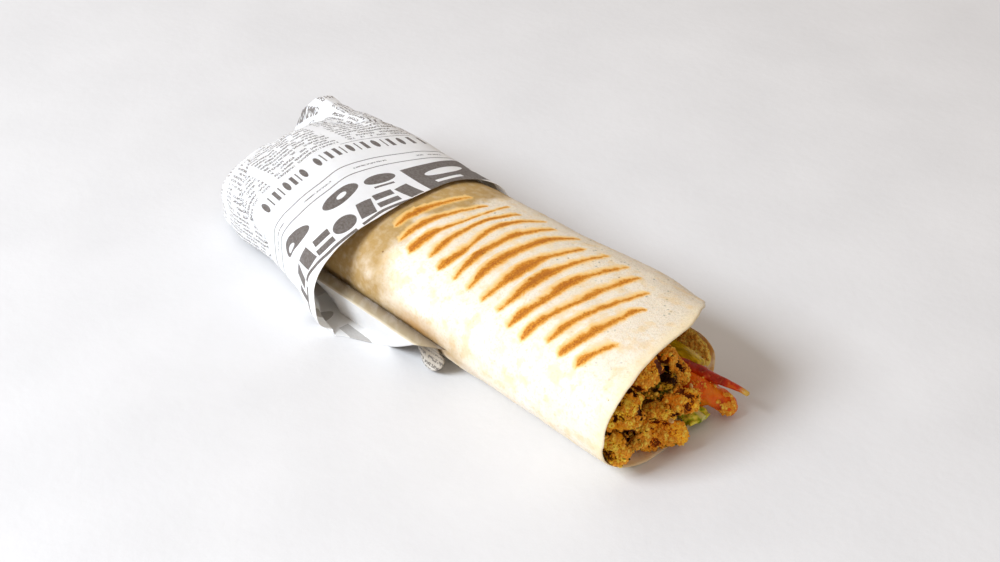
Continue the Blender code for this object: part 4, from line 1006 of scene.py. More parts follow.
def nearest_seed(points, size, seed):
    """Distance to the nearest of one random seed in each cell of a size, in cells."""
    scaled = np.asarray(points, float) / size + 500.0
    corner = np.floor(scaled).astype(np.int64)
    best = np.full(scaled.shape[:-1], 9.0)
    for dx in (-1, 0, 1):
        for dy in (-1, 0, 1):
            for dz in (-1, 0, 1):
                cell = corner + np.array([dx, dy, dz])
                place = cell + np.stack([lattice(cell, seed + k) for k in (1, 2, 3)], axis=-1)
                best = np.minimum(best, np.linalg.norm(place - scaled, axis=-1))
    return best


def crumbled(points, seed, coarse=3.4):
    """Height of broken crumb: rounded bumps round seeds at three sizes, with pits where a
    broad noise is low. Runs from about -1 in the pits to 1 on the bumps."""
    height = 0.62 * (0.55 - nearest_seed(points, coarse, seed))
    height = height + 0.36 * (0.5 - nearest_seed(points, coarse * 0.42, seed + 11))
    height = height + 0.20 * (0.5 - nearest_seed(points, coarse * 0.19, seed + 23))
    pits = np.clip(-0.18 - noise(points, coarse * 1.5, seed + 31), 0.0, 1.0)
    return height - 1.1 * pits


def wall_limit(points):
    """True where a point lies inside the roll, measured round the roll's middle."""
    middle_z = HEIGHT / 2.0
    bearing = np.arctan2(points[..., 2] - middle_z, points[..., 1])
    reach = np.hypot(points[..., 1], points[..., 2] - middle_z)
    inside = np.zeros(reach.shape, bool)
    stations = np.arange(60.0, 112.0, 2.0)
    nearest = np.clip(np.round((points[..., 0] - 60.0) / 2.0).astype(int), 0, len(stations) - 1)
    turn = np.linspace(0.0, 360.0, 181)[:-1]
    for k, x in enumerate(stations):
        clear = GAP + LUMP_CLEAR - RIM_CLOSER * float(rise(x, 78.0, 92.0))
        wall_y, wall_z = inner_wall(turn, min(x, OPENS_FULL_X), clear)
        wall_bearing = np.arctan2(wall_z - middle_z, wall_y)
        order = np.argsort(wall_bearing)
        limit = np.interp(bearing, wall_bearing[order], np.hypot(wall_y, wall_z - middle_z)[order],
                          period=2.0 * math.pi)
        inside |= (nearest == k) & (reach < limit)
    return inside


def lump_frame(name):
    """The three directions of a lump: the mouth's own, rolled about the way out of it."""
    across, up, out = (np.array(way) for way in MOUTH_FRAME)
    roll = math.radians(LUMPS[name][2])
    return np.array([across * math.cos(roll) + up * math.sin(roll),
                     up * math.cos(roll) - across * math.sin(roll), out])


def lump_share(name, way):
    """A superellipsoid's norm of a direction: the shares of its half sizes, each to the power
    of its squareness, summed, and the root of that sum."""
    own = np.abs(way @ lump_frame(name).T) / np.array(LUMPS[name][1])
    square = LUMPS[name][3]
    return (own ** square).sum(axis=-1) ** (1.0 / square)


def lump_planes(name):
    """Planes (normal, offset) that share out the mouth between a lump and its neighbours."""
    centre = np.array(LUMPS[name][0])
    planes = []
    for other in LUMPS:
        if other == name:
            continue
        gap = np.array(LUMPS[other][0]) - centre
        far = np.linalg.norm(gap)
        way = gap / far
        own, theirs = 1.0 / lump_share(name, way), 1.0 / lump_share(other, way)
        planes.append((way, centre @ way + far * own / (own + theirs) - LUMP_GAP))
    return centre, planes


def lump_reach(name, polar, around):
    """Reach of a lump from its centre: the superellipsoid and every plane between neighbours
    joined by a power mean, which rounds their edges, then drawn back inside the roll; and how
    much of it the planes cut, which is where it lies against a neighbour."""
    centre, planes = lump_planes(name)
    way = np.stack([np.cos(polar) + 0.0 * around, np.sin(polar) * np.cos(around),
                    np.sin(polar) * np.sin(around)], axis=-1)
    total = lump_share(name, way) ** ROUNDING
    cut = 0.0 * total
    for normal, offset in planes:
        slope = np.maximum(way @ normal, 1e-6)
        cut = cut + (slope / max(offset - centre @ normal, 0.5)) ** ROUNDING
    reach = (total + cut) ** (-1.0 / ROUNDING)
    for _ in range(50):
        outside = ~wall_limit(centre + way * reach[..., None])
        reach = np.where(outside, reach * 0.97, reach)
    return centre, reach, cut / (total + cut)


def refined(values, rows, sides):
    """Values on a coarse ring grid carried to a finer one, straight along both ways."""
    old_rows, old_sides = values.shape
    at = np.linspace(0.0, old_rows - 1.0, rows)
    low = np.clip(at.astype(int), 0, old_rows - 2)
    share = (at - low)[:, None]
    tall = values[low] * (1.0 - share) + values[low + 1] * share
    at = np.arange(sides) * old_sides / sides
    low = at.astype(int)
    share = at - low
    return tall[:, low] * (1.0 - share) + tall[:, (low + 1) % old_sides] * share


def make_lump(name, material):
    """A broken lump of falafel: its reach on a fine grid of directions, roughened along them
    by crumb bumps and pits."""
    coarse_polar = np.linspace(0.0, math.pi, 34)[:, None]
    coarse_around = np.linspace(0.0, 2.0 * math.pi, 48, endpoint=False)[None, :]
    centre, reach, cut = lump_reach(name, coarse_polar, coarse_around)
    reach = refined(reach, LUMP_ROWS + 2, LUMP_SIDES)[1:-1]
    cut = refined(cut, LUMP_ROWS + 2, LUMP_SIDES)[1:-1]
    polar = np.linspace(0.0, math.pi, LUMP_ROWS + 2)[1:-1, None]
    around = np.linspace(0.0, 2.0 * math.pi, LUMP_SIDES, endpoint=False)[None, :]
    way = np.stack([np.cos(polar) + 0.0 * around, np.sin(polar) * np.cos(around),
                    np.sin(polar) * np.sin(around)], axis=-1)
    points = centre + way * reach[..., None]
    craggy = LUMPS[name][5]
    seed = 100 + 17 * list(LUMPS).index(name)
    height = crumbled(points, seed, 1.9 + 0.7 * craggy)
    broad = layered(points, 7.0, seed + 5, 3, 0.6)
    reach = reach + craggy * (1.5 * height + 1.8 * broad) + (1.0 - craggy) * (0.5 * height + 0.5
        * broad)
    # Painted shade: the height field, which sets the colour, is lowered where the lump lies against a
    # neighbour, darkening it towards the pit colour.
    height = height - 0.8 * np.clip(cut, 0.0, 1.0) ** 3
    points = centre + way * np.maximum(reach, 1.0)[..., None]
    hollow = hollowed(points) * rise((points - centre) @ np.array(MOUTH_FRAME[2]), -1.0, 2.0)
    points = points - hollow[..., None] * np.array(MOUTH_FRAME[2])
    # Painted shade in the hollows, as well as their depth.
    height = height - 0.75 * hollow
    points[..., 2] = np.maximum(points[..., 2], 1.5 + 1.4
        * (1.0 - rise(points[..., 0], 78.0, 92.0)))
    points = tube_points(points)
    lit = np.append(np.ravel(height), (0.0, 0.0))
    tone = np.append(np.ravel(noise(points[:-2], 6.0, seed + 9)), (0.0, 0.0))
    piece = mesh_piece("falafel_lump_" + name, points, tube_faces(LUMP_ROWS, LUMP_SIDES)[:, ::-1],
                       material, fields={"height": lit, "tone": tone})
    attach(piece, "root")
    if "falafel_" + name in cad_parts:
        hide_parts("falafel_" + name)
    return points[:-2], height.ravel()


def falafel_finish(name, pit, low, mid, high, tint):
    """Fried chickpea crumb, broken open: coarse and dry with a little oil, dark brown in the pits, with
    painted shade darkening the lowest parts further, golden on the bumps, with herb flecks and a warmer tint
    in patches."""
    material, tree, shader = new_finish(name, Roughness=0.6, IOR=1.46, Specular_IOR_Level=0.12)
    place = node(tree, "TexCoord", out="Object")
    grain = node(tree, "TexNoise", place, per_metre(0.8), 3.0, 0.7, at=PATTERN_INPUTS)
    height = node(tree, "Math.ADD", node(tree, "Attribute", out="Fac", attribute_name="height"),
        node(tree, "Math.MULTIPLY", node(tree, "Math.SUBTRACT", grain, 0.46), 2.8))
    height = node(tree, "Math.ADD", node(tree, "Math.MULTIPLY", height, 0.9), 0.58)
    colour = node(tree, "ValToRGB", height, stops=((0.10, pit), (0.32, low), (0.52, mid), (0.76, high)))
    warm = node(tree, "Math.MULTIPLY", node(tree, "MapRange",
            node(tree, "Attribute", out="Fac", attribute_name="tone"), 0.02, 0.45, **EASED), 0.7)
    colour = node(tree, "Mix", warm, colour, tint, **COLOUR_MIX)
    flecks = node(tree, "MapRange", node(tree, "TexVoronoi", place, per_metre(2.6),
            at=PATTERN_INPUTS), 0.17, 0.10, **EASED)
    flecks = node(tree, "Math.MULTIPLY", flecks, node(tree, "MapRange",
            node(tree, "TexNoise", place, per_metre(6.0), 2.0, at=PATTERN_INPUTS), 0.5, 0.6,
            **EASED))
    colour = node(tree, "Mix", node(tree, "Math.MULTIPLY", flecks, 0.75), colour, "#5F6A20",
        **COLOUR_MIX)
    # Painted shade: the lowest parts darken further towards the pit colour.
    dark = node(tree, "Math.MULTIPLY", node(tree, "MapRange", height, 0.38, 0.08, **EASED), 0.9)
    colour = node(tree, "Mix", dark, colour, pit, **COLOUR_MIX)
    tree.links.new(colour, shader.inputs["Base Color"])
    tree.links.new(node(tree, "Bump", 0.9, 0.45 * MM, grain, at=BUMP_INPUTS),
        shader.inputs["Normal"])
    return material


def falafel_ring(x, slant, count):
    """Section of the falafel: round the inside of the roll, down the border, out on the shelf,
    leaning back by a slant for each unit of Y, shared out evenly along its length."""
    probe = np.linspace(0.0, 70.0, 71)
    probe_y, probe_z = inner_wall(probe, x, FILL_GAP)
    start = np.interp(SHELF_Z, probe_z, probe)
    probe = np.linspace(250.0, 330.0, 81)
    probe_y, probe_z = inner_wall(probe, x, FILL_GAP)
    stop = np.interp(0.0, probe_y - border_y(probe_z), probe)
    turn = np.linspace(start, stop, 26)
    first_y, _ = inner_wall(turn, x, FILL_GAP)
    wall_y, wall_z = inner_wall(turn, x - slant * first_y, FILL_GAP)
    climb = np.linspace(wall_z[-1], SHELF_Z, 4)[1:]
    border = border_y(climb)
    y = np.concatenate([wall_y, border, wall_y[:1]])
    z = np.concatenate([wall_z, climb, wall_z[:1]])
    length = np.concatenate([[0.0], np.cumsum(np.hypot(np.diff(y), np.diff(z)))])
    even = np.linspace(0.0, length[-1], count + 1)[:-1]
    y, z = np.interp(even, length, y), np.interp(even, length, z)
    return np.stack([x - slant * y, y, z], axis=-1)


def border_y(z):
    """The slanting border between the falafel and the salads."""
    return BORDER_Y + BORDER_SLOPE * z


def capped(rings, hubs, count, dome):
    """Rings with extra ones that draw in to a hub at either end: each a mix of the end ring
    and its hub, standing out from the straight mix as a quarter ellipse."""
    share = np.linspace(0.0, 0.97, count)[1:, None, None]
    ends = []
    for end, hub, sign in ((rings[0], hubs[0], -1.0), (rings[-1], hubs[1], 1.0)):
        flat = end + (hub - end) * share
        flat[..., 0] += sign * dome * np.sqrt(1.0 - (1.0 - share[..., 0]) ** 2)
        ends.append(flat)
    return np.concatenate([ends[0][::-1], rings, ends[1]])


def make_falafel_mash():
    """The mashed falafel that runs through the roll, its front broken and pitted."""
    share = np.linspace(0.0, 1.0, 60)
    rings = np.array([falafel_ring(FILL_TAIL_X + (CORE_FRONT_X - FILL_TAIL_X) * at,
                                   CORE_FRONT_SLOPE * rise(at, 0.8, 1.0), 150) for at in share])
    hubs = np.array([[FILL_TAIL_X, 0.0, HUB_Z], [CORE_FRONT_X, 0.0, HUB_Z]])
    rings = capped(rings, hubs, 34, 0.0)
    height = crumbled(rings, 77, 3.6)
    front = rise(rings[..., 0], 55.0, 66.0)
    rings[..., 0] += 1.5 * height * front
    points = tube_points(rings)
    flat = np.append(np.ravel(height), (0.0, 0.0))
    tone = np.append(np.ravel(noise(rings, 6.0, 78)), (0.0, 0.0))
    material = falafel_finish("mashed_falafel", "#1E0C02", "#4A2406", "#8A520C", "#C88A1C",
        "#703808")
    piece = mesh_piece("falafel_mash", points, tube_faces(*rings.shape[:2])[:, ::-1], material,
                       fields={"height": flat, "tone": tone})
    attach(piece, "root")
    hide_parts("falafel_filling")


def salad_rings(layer, tip, stations, side, cross):
    """Sections of a salad layer: a slab from the border to the far wall that turns to an oval
    as it comes free, both walked round with the same count of points."""
    tip_x = [row[0] for row in tip]
    free_from, free_to = tip_x[0] - 16.0, tip_x[0]
    up, over = np.linspace(0.0, 1.0, side), np.linspace(0.0, 1.0, cross + 2)[1:-1]
    angle = np.radians(np.concatenate([232.0 - 104.0 * up, 128.0 - 76.0 * over,
                                       52.0 - 104.0 * up, -52.0 - 76.0 * over]))
    rings = []
    for x in stations:
        open_share = rise(x, 40.0, 60.0)
        low = layer[0][0] + (layer[0][1] - layer[0][0]) * open_share
        high = layer[1][0] + (layer[1][1] - layer[1][0]) * open_share
        heights = low + (high - low) * up
        near_y, far_y = border_y(heights) + GAP, far_wall_y(heights, x)
        y = np.concatenate([near_y, near_y[-1] + (far_y[-1] - near_y[-1]) * over,
                            far_y[::-1], far_y[0] + (near_y[0] - far_y[0]) * over])
        z = np.concatenate([heights, np.full(cross, high), heights[::-1], np.full(cross, low)])
        oval = [eased(x, tip_x, [row[k] for row in tip]) for k in (1, 2, 3, 4)]
        free = rise(x, free_from, free_to)
        y = y + (oval[0] + oval[2] * np.cos(angle) - y) * free
        z = z + (oval[1] + oval[3] * np.sin(angle) - z) * free
        rings.append(np.stack([np.full(len(y), x), y, z], axis=-1))
    return np.array(rings)


def salad_piece(name, rings, material, replaced, fields=None, dome=1.0):
    """Closes salad sections into a piece with domed ends and hands it to the frame."""
    hubs = rings[[0, -1]].mean(axis=1)
    rings = capped(rings, hubs, 10, dome)
    points = tube_points(rings)
    piece = mesh_piece(name, points, tube_faces(*rings.shape[:2]), material, fields=fields)
    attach(piece, "root")
    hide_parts(replaced)
    return rings


def tomato_finish(name, flesh, deep, rough):
    """Ripe tomato, cut: wet and glossy, light passing into it, paler veins under the skin."""
    material, tree, shader = new_finish(name, Roughness=rough, IOR=1.36, Specular_IOR_Level=0.3,
                                        Coat_Weight=0.12, Coat_Roughness=0.1)
    place = node(tree, "TexCoord", out="Object")
    colour = node(tree, "ValToRGB", node(tree, "TexNoise", place, per_metre(5.0), 3.0,
            at=PATTERN_INPUTS), stops=((0.32, deep), (0.52, flesh), (0.76, "#F08C1E")))
    veins = node(tree, "Math.MULTIPLY", node(tree, "MapRange",
            node(tree, "TexNoise", place, per_metre(1.4), 2.0, at=PATTERN_INPUTS), 0.58, 0.72,
            **EASED), 0.35)
    colour = node(tree, "Mix", veins, colour, "#F59A3E", **COLOUR_MIX)
    tree.links.new(colour, shader.inputs["Base Color"])
    shader.inputs["Subsurface Weight"].default_value = 0.06
    shader.inputs["Subsurface Radius"].default_value = (1.0, 0.25, 0.1)
    shader.inputs["Subsurface Scale"].default_value = 0.0015
    tree.links.new(node(tree, "Bump", 0.9, 0.75 * MM,
            node(tree, "TexNoise", place, per_metre(2.2), 3.0, at=PATTERN_INPUTS), at=BUMP_INPUTS),
        shader.inputs["Normal"])
    return material


def make_tomato():
    """The tomato wedge: a slab inside the roll whose free tip sags, swells and hooks down."""
    stations = np.concatenate([np.linspace(FILL_TAIL_X, 60.0, 24),
            np.linspace(60.0, 103.5, 90)[1:]])
    rings = salad_rings(TOMATO, TOMATO_TIP, stations, 22, 22)
    out = rise(rings[..., 0], 74.0, 84.0)
    bulge = 0.8 * layered(rings, 7.0, 61, 2) + 0.22 * noise(rings, 1.8, 62)
    middle = rings.mean(axis=1, keepdims=True)
    way = rings - middle
    way[..., 0] = 0.0
    way /= np.linalg.norm(way, axis=-1, keepdims=True) + 1e-9
    rings = rings + way * (bulge * out)[..., None]
    material = tomato_finish("cut_ripe_tomato", "#EE6C08", "#C43A03", 0.22)
    return salad_piece("tomato_piece", rings, material, "tomato_wedge", dome=1.2)


def make_tomato_strip():
    """A thin strip of tomato with its skin: an oval carried along a bent line and twisted,
    its tip pale and frayed."""
    x = np.linspace(STRIP[0][0], STRIP[-1][0] - 0.9, 110)
    places = [row[0] for row in STRIP]
    centre_y, centre_z, half_y, half_z = [eased(x, places, [row[k] for row in STRIP])[:, None]
                                          for k in (1, 2, 3, 4)]
    angle = np.linspace(0.0, 2.0 * math.pi, 40, endpoint=False)[None, :]
    line = np.stack([x[:, None], 0.0 * x[:, None], 0.0 * x[:, None]], axis=-1)
    wobble = 0.22 * noise(np.concatenate([line] * 40, axis=1)
        + np.stack([0 * angle, 3.0 * np.cos(angle), 3.0 * np.sin(angle)], axis=-1), 3.0, 65)
    y = centre_y + (half_y + wobble) * np.cos(angle) + 0.5 * np.sin(x / 4.0)[:, None] * rise(x,
        84.0, 92.0)[:, None]
    z = centre_z + (half_z + wobble) * np.sin(angle)
    rings = np.stack([x[:, None] + 0.0 * y, y, z], axis=-1)
    material = tomato_finish("tomato_skin_and_flesh", "#C03005", "#8E1A02", 0.15)
    tree = material.node_tree
    shader = tree.nodes["Principled BSDF"]
    red = shader.inputs["Base Color"].links[0].from_socket
    place = node(tree, "SeparateXYZ", node(tree, "TexCoord", out="Object"))
    tip = node(tree, "MapRange", place, 0.1040, 0.1076, **EASED)
    tree.links.new(node(tree, "Mix", tip, red, "#C9A24A", **COLOUR_MIX),
        shader.inputs["Base Color"])
    return salad_piece("tomato_skin_strip", rings, material, "tomato_strip",
        dome=0.8)


def make_pickle():
    """The pickle slice: a slab with a rounded cut face and long ridges."""
    stations = np.concatenate([np.linspace(FILL_TAIL_X, 56.0, 20),
            np.linspace(56.0, 87.0, 64)[1:]])
    rings = salad_rings(PICKLE, PICKLE_TIP, stations, 16, 26)
    ridge = 0.12 * np.sin(rings[..., 1] / 0.55) + 0.3 * noise(rings, 5.0, 71)
    rings[..., 2] += ridge * rise(rings[..., 0], 60.0, 70.0)
    material, tree, shader = new_finish("brined_cucumber", Roughness=0.25, IOR=1.36,
        Specular_IOR_Level=0.25, Coat_Weight=0.08, Coat_Roughness=0.1)
    place = node(tree, "TexCoord", out="Object")
    across = node(tree, "Mapping", place, (0.25, 1.0, 1.0), at=("Vector", "Scale"))
    streaks = node(tree, "TexNoise", across, per_metre(1.3), 3.0, at=PATTERN_INPUTS)
    colour = node(tree, "ValToRGB", streaks, stops=((0.3, "#987A02"), (0.5, "#C09C04"),
            (0.72, "#E4C428")))
    edge = node(tree, "Math.MULTIPLY", node(tree, "MapRange",
            node(tree, "TexNoise", place, per_metre(4.0), 2.0, at=PATTERN_INPUTS), 0.55, 0.7,
            **EASED), 0.4)
    colour = node(tree, "Mix", edge, colour, "#57500A", **COLOUR_MIX)
    tree.links.new(colour, shader.inputs["Base Color"])
    shader.inputs["Subsurface Weight"].default_value = 0.3
    shader.inputs["Subsurface Radius"].default_value = (0.8, 1.0, 0.3)
    shader.inputs["Subsurface Scale"].default_value = 0.002
    tree.links.new(node(tree, "Bump", 0.6, 0.25 * MM, streaks, at=BUMP_INPUTS),
        shader.inputs["Normal"])
    salad_piece("pickle_piece", rings, material, "pickle_slice")


def make_lettuce():
    """The lettuce: a slab of leaf inside the roll whose free tip is ruffled by sines that grow
    towards its edges, with a pale rib along its middle."""
    stations = np.concatenate([np.linspace(FILL_TAIL_X, 66.0, 16),
            np.linspace(66.0, 99.5, 110)[1:]])
    rings = salad_rings(LETTUCE, LETTUCE_TIP, stations, 10, 60)
    x, y = rings[..., 0], rings[..., 1]
    out = rise(x, 78.0, 88.0)
    off_rib = y - 15.0
    ruffle = 0.7 * np.sin(x / 1.15 + 0.5 * off_rib) + 0.5 * np.sin(x / 0.62 - 0.9 * off_rib)
    ruffle = ruffle * np.clip(np.abs(off_rib) / 4.0, 0.15, 1.3) + 0.5 * noise(rings, 2.4, 81)
    rib = 0.9 * np.exp(-(off_rib / 1.1) ** 2)
    rings[..., 2] = np.maximum(rings[..., 2] + out * (0.8 * ruffle + rib), 0.1 + 0.9 * (x < 84.0))
    rings[..., 0] += out * 0.8 * noise(rings, 3.0, 82)
    material, tree, shader = new_finish("iceberg_lettuce", Roughness=0.35, IOR=1.4,
                                        Specular_IOR_Level=0.25)
    place = node(tree, "TexCoord", out="Object")
    colour = node(tree, "ValToRGB", node(tree, "TexNoise", place, per_metre(2.6), 3.0,
            at=PATTERN_INPUTS), stops=((0.38, "#748C08"), (0.5, "#BCC41C"), (0.63, "#F4E85C")))
    rib_share = node(tree, "MapRange", node(tree, "Math.ABSOLUTE",
            node(tree, "Math.SUBTRACT", node(tree, "SeparateXYZ", place, out=1), 0.0150)), 0.0016,
        0.0006, **EASED)
    colour = node(tree, "Mix", node(tree, "Math.MULTIPLY", rib_share, 0.85), colour, "#E8E6A0",
        **COLOUR_MIX)
    tree.links.new(colour, shader.inputs["Base Color"])
    shader.inputs["Subsurface Weight"].default_value = 0.25
    shader.inputs["Subsurface Radius"].default_value = (0.5, 1.0, 0.2)
    shader.inputs["Subsurface Scale"].default_value = 0.0015
    tree.links.new(node(tree, "Bump", 0.6, 0.25 * MM,
            node(tree, "TexNoise", place, per_metre(0.9), 2.0, at=PATTERN_INPUTS), at=BUMP_INPUTS),
        shader.inputs["Normal"])
    salad_piece("lettuce_frill", rings, material, "lettuce_leaf", dome=0.3)


# ---------------------------------------------------------------- crumbs, flecks and sauce

def ball(rows, sides):
    """A unit ball of rings and its triangles, for crumbs and seeds."""
    polar = np.linspace(0.0, math.pi, rows + 2)[1:-1, None]
    around = np.linspace(0.0, 2.0 * math.pi, sides, endpoint=False)[None, :]
    rings = np.stack([np.cos(polar) + 0.0 * around, np.sin(polar) * np.cos(around),
                      np.sin(polar) * np.sin(around)], axis=-1)
    points = tube_points(rings)
    points[-2], points[-1] = (1.0, 0.0, 0.0), (-1.0, 0.0, 0.0)
    return points, tube_faces(rows, sides)[:, ::-1]


def scatter(name, places, sizes, stretch, seed, material, rows=4, sides=7, rough=0.35, flat=1.0):
    """One piece of many small bits: a ball at each place, turned by its own random frame,
    stretched, and roughened by noise of its own place."""
    rng = np.random.default_rng(seed)
    points, faces = ball(rows, sides)
    count = len(places)
    frames, _ = np.linalg.qr(rng.normal(size=(count, 3, 3)))
    frames[:, :, 0] *= np.sign(np.linalg.det(frames))[:, None]
    own = points[None] * (1.0 + rough * noise(points[None] * 2.0 + 11.0
            * np.arange(count)[:, None, None], 1.1, seed))[..., None]
    own = own * np.stack([stretch + 0.0 * sizes, 1.0 + 0.0 * sizes, flat + 0.0 * sizes],
        axis=-1)[:, None]
    own = np.einsum("nij,nkj->nki", frames, own) * sizes[:, None, None] + places[:, None]
    own[..., 2] = np.maximum(own[..., 2], 0.05)
    faces = faces[None] + (np.arange(count) * len(points))[:, None, None]
    tone = np.repeat(rng.random(count), len(points))
    piece = mesh_piece(name, own.reshape(-1, 3), faces.reshape(-1, 3), material,
                       fields={"tone": tone, "height": np.repeat(rng.random(count), len(points))})
    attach(piece, "root")
    return piece


def picked(points, rng, count, weight):
    """A random choice of points, more often where their weight is high."""
    share = np.clip(weight, 0.0, None)
    return points[rng.choice(len(points), count, replace=False, p=share / share.sum())]


def make_scattered(lumps, tomato):
    """Crumbs over the broken falafel and on the tomato, herb bits, and a pale seed."""
    rng = np.random.default_rng(7)
    surface = np.concatenate([points for points, _ in lumps])
    raised = np.concatenate([height for _, height in lumps])
    dry = np.concatenate([np.full(len(height), 0.12 if LUMPS[name][4] == "herby" else 1.0)
                          for name, (_, height) in zip(LUMPS, lumps)])
    facing = rise(surface[:, 0] + 0.25 * surface[:, 1], 78.0, 90.0) * rise(raised, -0.9,
        0.2) * dry + 0.0005
    places = picked(surface, rng, 8600, facing)
    sizes = 0.15 + 0.70 * rng.random(len(places)) ** 4.0
    golden = falafel_finish("fried_crumb", "#6A3006", "#BE760E", "#F0AC1C", "#FFDA5C", "#EA8412")
    crumbs = scatter("falafel_crumbs", places, sizes, 1.2, 21, golden, rows=2, sides=5, rough=0.5)
    top = tomato.reshape(-1, 3)
    axis = np.repeat(tomato.mean(axis=1, keepdims=True), tomato.shape[1], axis=1).reshape(-1, 3)
    facing = (top - axis) @ np.array(MOUTH_FRAME[2])
    clumps = noise(top, 2.6, 93) > 0.1 - 0.4 * rise(top[:, 0], 98.0, 101.0)
    along = 3.0 * hump(top[:, 0], 102.6, 3.4) + 0.3 * hump(top[:, 0], 94.0, 4.0)
    weight = (facing > 0.8) * clumps * along
    places = picked(top, rng, 240, weight + 1e-6)
    stuck = scatter("crumbs_on_tomato", places, 0.22 + 0.45 * rng.random(240) ** 2, 1.3, 22,
        golden)
    places = picked(surface, rng, 170, rise(surface[:, 0], 80.0, 90.0) * rise(raised, -0.8, 0.0)
        * (1.15 - dry) + 0.001)
    herb, tree, shader = new_finish("chopped_parsley", Roughness=0.6, Specular_IOR_Level=0.1)
    tree.links.new(node(tree, "ValToRGB", node(tree, "Attribute", out="Fac",
                attribute_name="tone"), stops=((0.0, "#3C3C06"), (0.5, "#5E5C0C"),
                (1.0, "#948420"))), shader.inputs["Base Color"])
    bits = scatter("parsley_bits", places, 0.25 + 0.45 * rng.random(170), 1.7, 23, herb, flat=0.3)
    pale, tree, shader = new_finish("hulled_sesame", Roughness=0.35)
    tree.links.new(node(tree, "ValToRGB", node(tree, "TexNoise",
                node(tree, "TexCoord", out="Object"), per_metre(0.8), 2.0, at=PATTERN_INPUTS),
            stops=((0.3, "#CFA05C"), (0.7, "#EAC88C"))), shader.inputs["Base Color"])
    seeds = np.array([[101.2, -4.2, 14.1], [94.6, 13.0, 16.0]])
    seed = scatter("sesame_seeds", seeds, np.array([0.95, 0.8]), 1.5, 24, pale, 8, 12, 0.06, 0.55)


def make_sauce(skins):
    """A film of oily sauce and fine crumb on the inside of the far flap: part of the sheet's
    inner skin lifted by noise, ragged where the noise runs out."""
    inner = skins[1]
    turn = FLAP_TURN + (INNER_TURN - FLAP_TURN) * np.linspace(0.0, 1.0, BREAD_COLUMNS)
    columns = np.flatnonzero((turn > 298.0) & (turn < 376.0))
    rows = np.arange(int(BREAD_ROWS * 0.84), BREAD_ROWS - 1)
    patch = inner[rows[0]:rows[-1] + 1, columns[0]:columns[-1] + 1]
    fine = np.stack([np.stack([np.interp(np.linspace(0, patch.shape[1] - 1, 260),
                    np.arange(patch.shape[1]), row[:, k]) for k in range(3)],
                axis=-1) for row in patch])
    at = np.linspace(0, len(fine) - 1, 120)
    low = np.clip(at.astype(int), 0, len(fine) - 2)
    share = (at - low)[:, None, None]
    base = fine[low] * (1.0 - share) + fine[low + 1] * share
    inward = -surface_normals(base)
    u = np.linspace(0.0, 1.0, 260)[None, :]
    v = np.linspace(0.0, 1.0, 120)[:, None]
    fade = np.minimum(np.minimum((u - 0.12) * 4.0, (1.0 - u) * 6.0),
        np.minimum(v * 8.0, (0.95 - v) * 9.0))
    body = 0.75 * layered(base, 5.0, 91, 2) + 0.65 + np.minimum(fade, 1.0) - 1.0
    depth = np.clip(body, -0.3, 0.75) + np.where(body > 0.0,
        0.55 * (0.5 - nearest_seed(base, 1.5, 92)), 0.0)
    outer = base + inward * depth[..., None]
    material = falafel_finish("tahini_oil_and_crumb", "#B87608", "#E8A810", "#FFD028", "#FFEC7C",
        "#F4B81C")
    material.node_tree.nodes["Principled BSDF"].inputs["Roughness"].default_value = 0.35
    height = 1.6 * np.clip(depth, -0.3, 1.0) + 0.3
    piece = sheet_piece("sauce_smear", outer, base - inward * 0.35, material,
                        np.zeros((*outer.shape[:2], 2)),
                        {"height": (height, height), "tone": (0.0 * height, 0.0 * height)})
    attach(piece, "root")
    rng = np.random.default_rng(17)
    laid = outer[body > 0.35]
    places = picked(laid, rng, 420, rise(laid[:, 0], 58.0, 70.0) + 0.01)
    crumbs = falafel_finish("crumb_in_sauce", "#6A3A06", "#C0800E", "#EEB428", "#FFE074",
        "#D8901C")
    crumbs = scatter("crumbs_on_flap", places, 0.25 + 0.6 * rng.random(420) ** 3, 1.2, 25, crumbs,
        3, 6)


def make_fillings(skins):
    """Every filling, then the bits that lie on them."""
    make_falafel_mash()
    finishes = { "golden": falafel_finish("falafel_crumb_golden", "#4A1C02", "#B8720A", "#FAB818",
            "#FFE45A", "#F29A10"), "bright": falafel_finish("falafel_crust_golden", "#5A2202",
            "#CC6E08", "#FFAA14", "#FFDC50", "#FA8410"),
        "crust": falafel_finish("falafel_crust_fried", "#6E2C04", "#CC6A06", "#F49610", "#FFC438",
            "#E87A0C"), "herby": falafel_finish("falafel_crumb_herby", "#2A1002", "#5E3806",
            "#9A6C0E", "#CCA028", "#7C520A"), "brown": falafel_finish("falafel_crust_browned",
            "#341002", "#803006", "#CC7412", "#FFBC38", "#A0480A"), }
    lumps = [make_lump(name, finishes[LUMPS[name][4]]) for name in LUMPS]
    tomato = make_tomato()
    make_tomato_strip()
    make_pickle()
    make_lettuce()
    make_scattered(lumps, tomato)
    make_sauce(skins)


# ---------------------------------------------------------------- camera, light and floor

CAMERA_AIM = (7.0, 4.0, 20.0)
CAMERA_AWAY = 670.0
CAMERA_RISE = 35.0
CAMERA_ROUND = 47.0


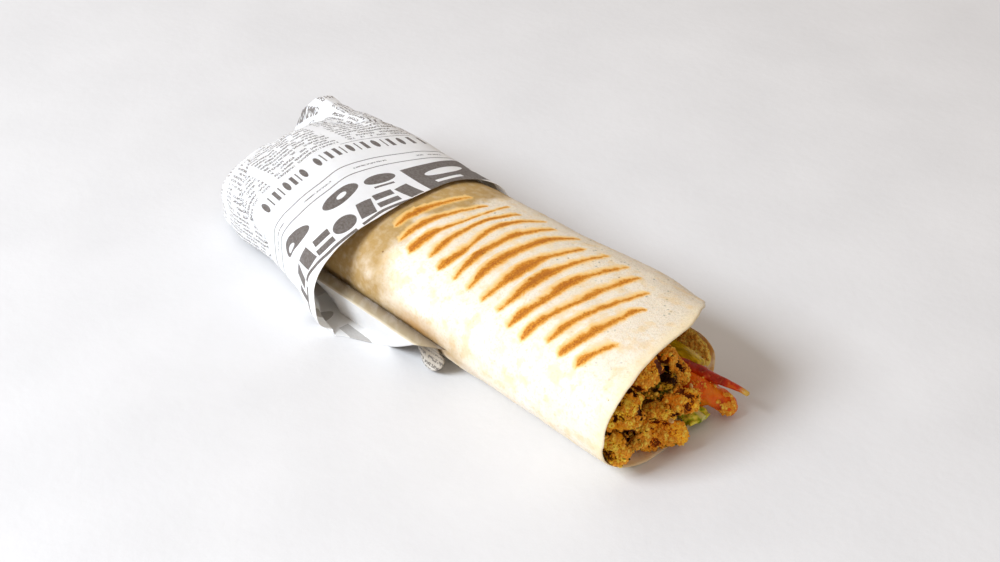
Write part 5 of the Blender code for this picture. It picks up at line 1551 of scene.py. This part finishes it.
def add_camera():
    """A long lens that looks down on the near side and the mouth."""
    up, round_ = math.radians(CAMERA_RISE), math.radians(CAMERA_ROUND)
    back = (math.sin(round_) * math.cos(up), -math.cos(round_) * math.cos(up), math.sin(up))
    lens = bpy.data.cameras.new("camera")
    lens.lens = 64.8
    lens.sensor_width = 36.0
    lens.clip_start = 0.01
    camera = bpy.data.objects.new("camera", lens)
    camera.location = [(aim + CAMERA_AWAY * way) * MM for aim, way in zip(CAMERA_AIM, back)]
    camera.rotation_euler = (math.pi / 2.0 - up, 0.0, round_)
    bpy.context.scene.collection.objects.link(camera)
    bpy.context.scene.camera = camera


def add_light(name, place, aim, size, power, colour="#FFFFFF"):
    """A square soft box that points at a place."""
    lamp = bpy.data.lights.new(name, "AREA")
    lamp.shape = "SQUARE"
    lamp.size = size
    lamp.energy = power
    lamp.color = linear(colour)[:3]
    light = bpy.data.objects.new(name, lamp)
    light.location = place
    way = np.array(aim, float) - np.array(place, float)
    flat = math.hypot(way[0], way[1])
    light.rotation_euler = (math.atan2(flat, -way[2]), 0.0, math.atan2(-way[0], way[1]))
    bpy.context.scene.collection.objects.link(light)


def add_studio():
    """A pale painted floor under a wide sky of white card, with one large soft box."""
    world = bpy.data.worlds.new("studio")
    bpy.context.scene.world = world
    world.use_nodes = True
    sky = world.node_tree.nodes["Background"]
    sky.inputs["Color"].default_value = linear("#FFF0E2")
    sky.inputs["Strength"].default_value = 0.53
    add_light("key_softbox", (-0.33, -1.14, 1.03), (0.0, 0.0, 0.0), 0.66, 29.0, "#EEF6FF")
    material, tree, shader = new_finish("painted_plaster_floor", Roughness=0.85)
    place = node(tree, "TexCoord", out="Object")
    cloud = node(tree, "ValToRGB", node(tree, "TexNoise", place, per_metre(60.0), 4.0,
            at=PATTERN_INPUTS), stops=((0.3, "#DADADB"), (0.7, "#E1E1E2")))
    tree.links.new(cloud, shader.inputs["Base Color"])
    tree.links.new(node(tree, "Bump", 0.5, 0.25 * MM,
            node(tree, "TexNoise", place, per_metre(4.0), 4.0, at=PATTERN_INPUTS), at=BUMP_INPUTS),
        shader.inputs["Normal"])
    reach = 2500.0
    corners = np.array([(-reach, -reach, 0), (reach, -reach, 0), (reach, reach, 0),
            (-reach, reach, 0)], float)
    floor = mesh_piece("floor", corners, [[0, 1, 2, 3]], material, smooth=False)
    bpy.context.scene.view_settings.view_transform = "Standard"


add_camera()
add_studio()
bread_sides = make_flatbread()
make_paper()
make_fillings(bread_sides)
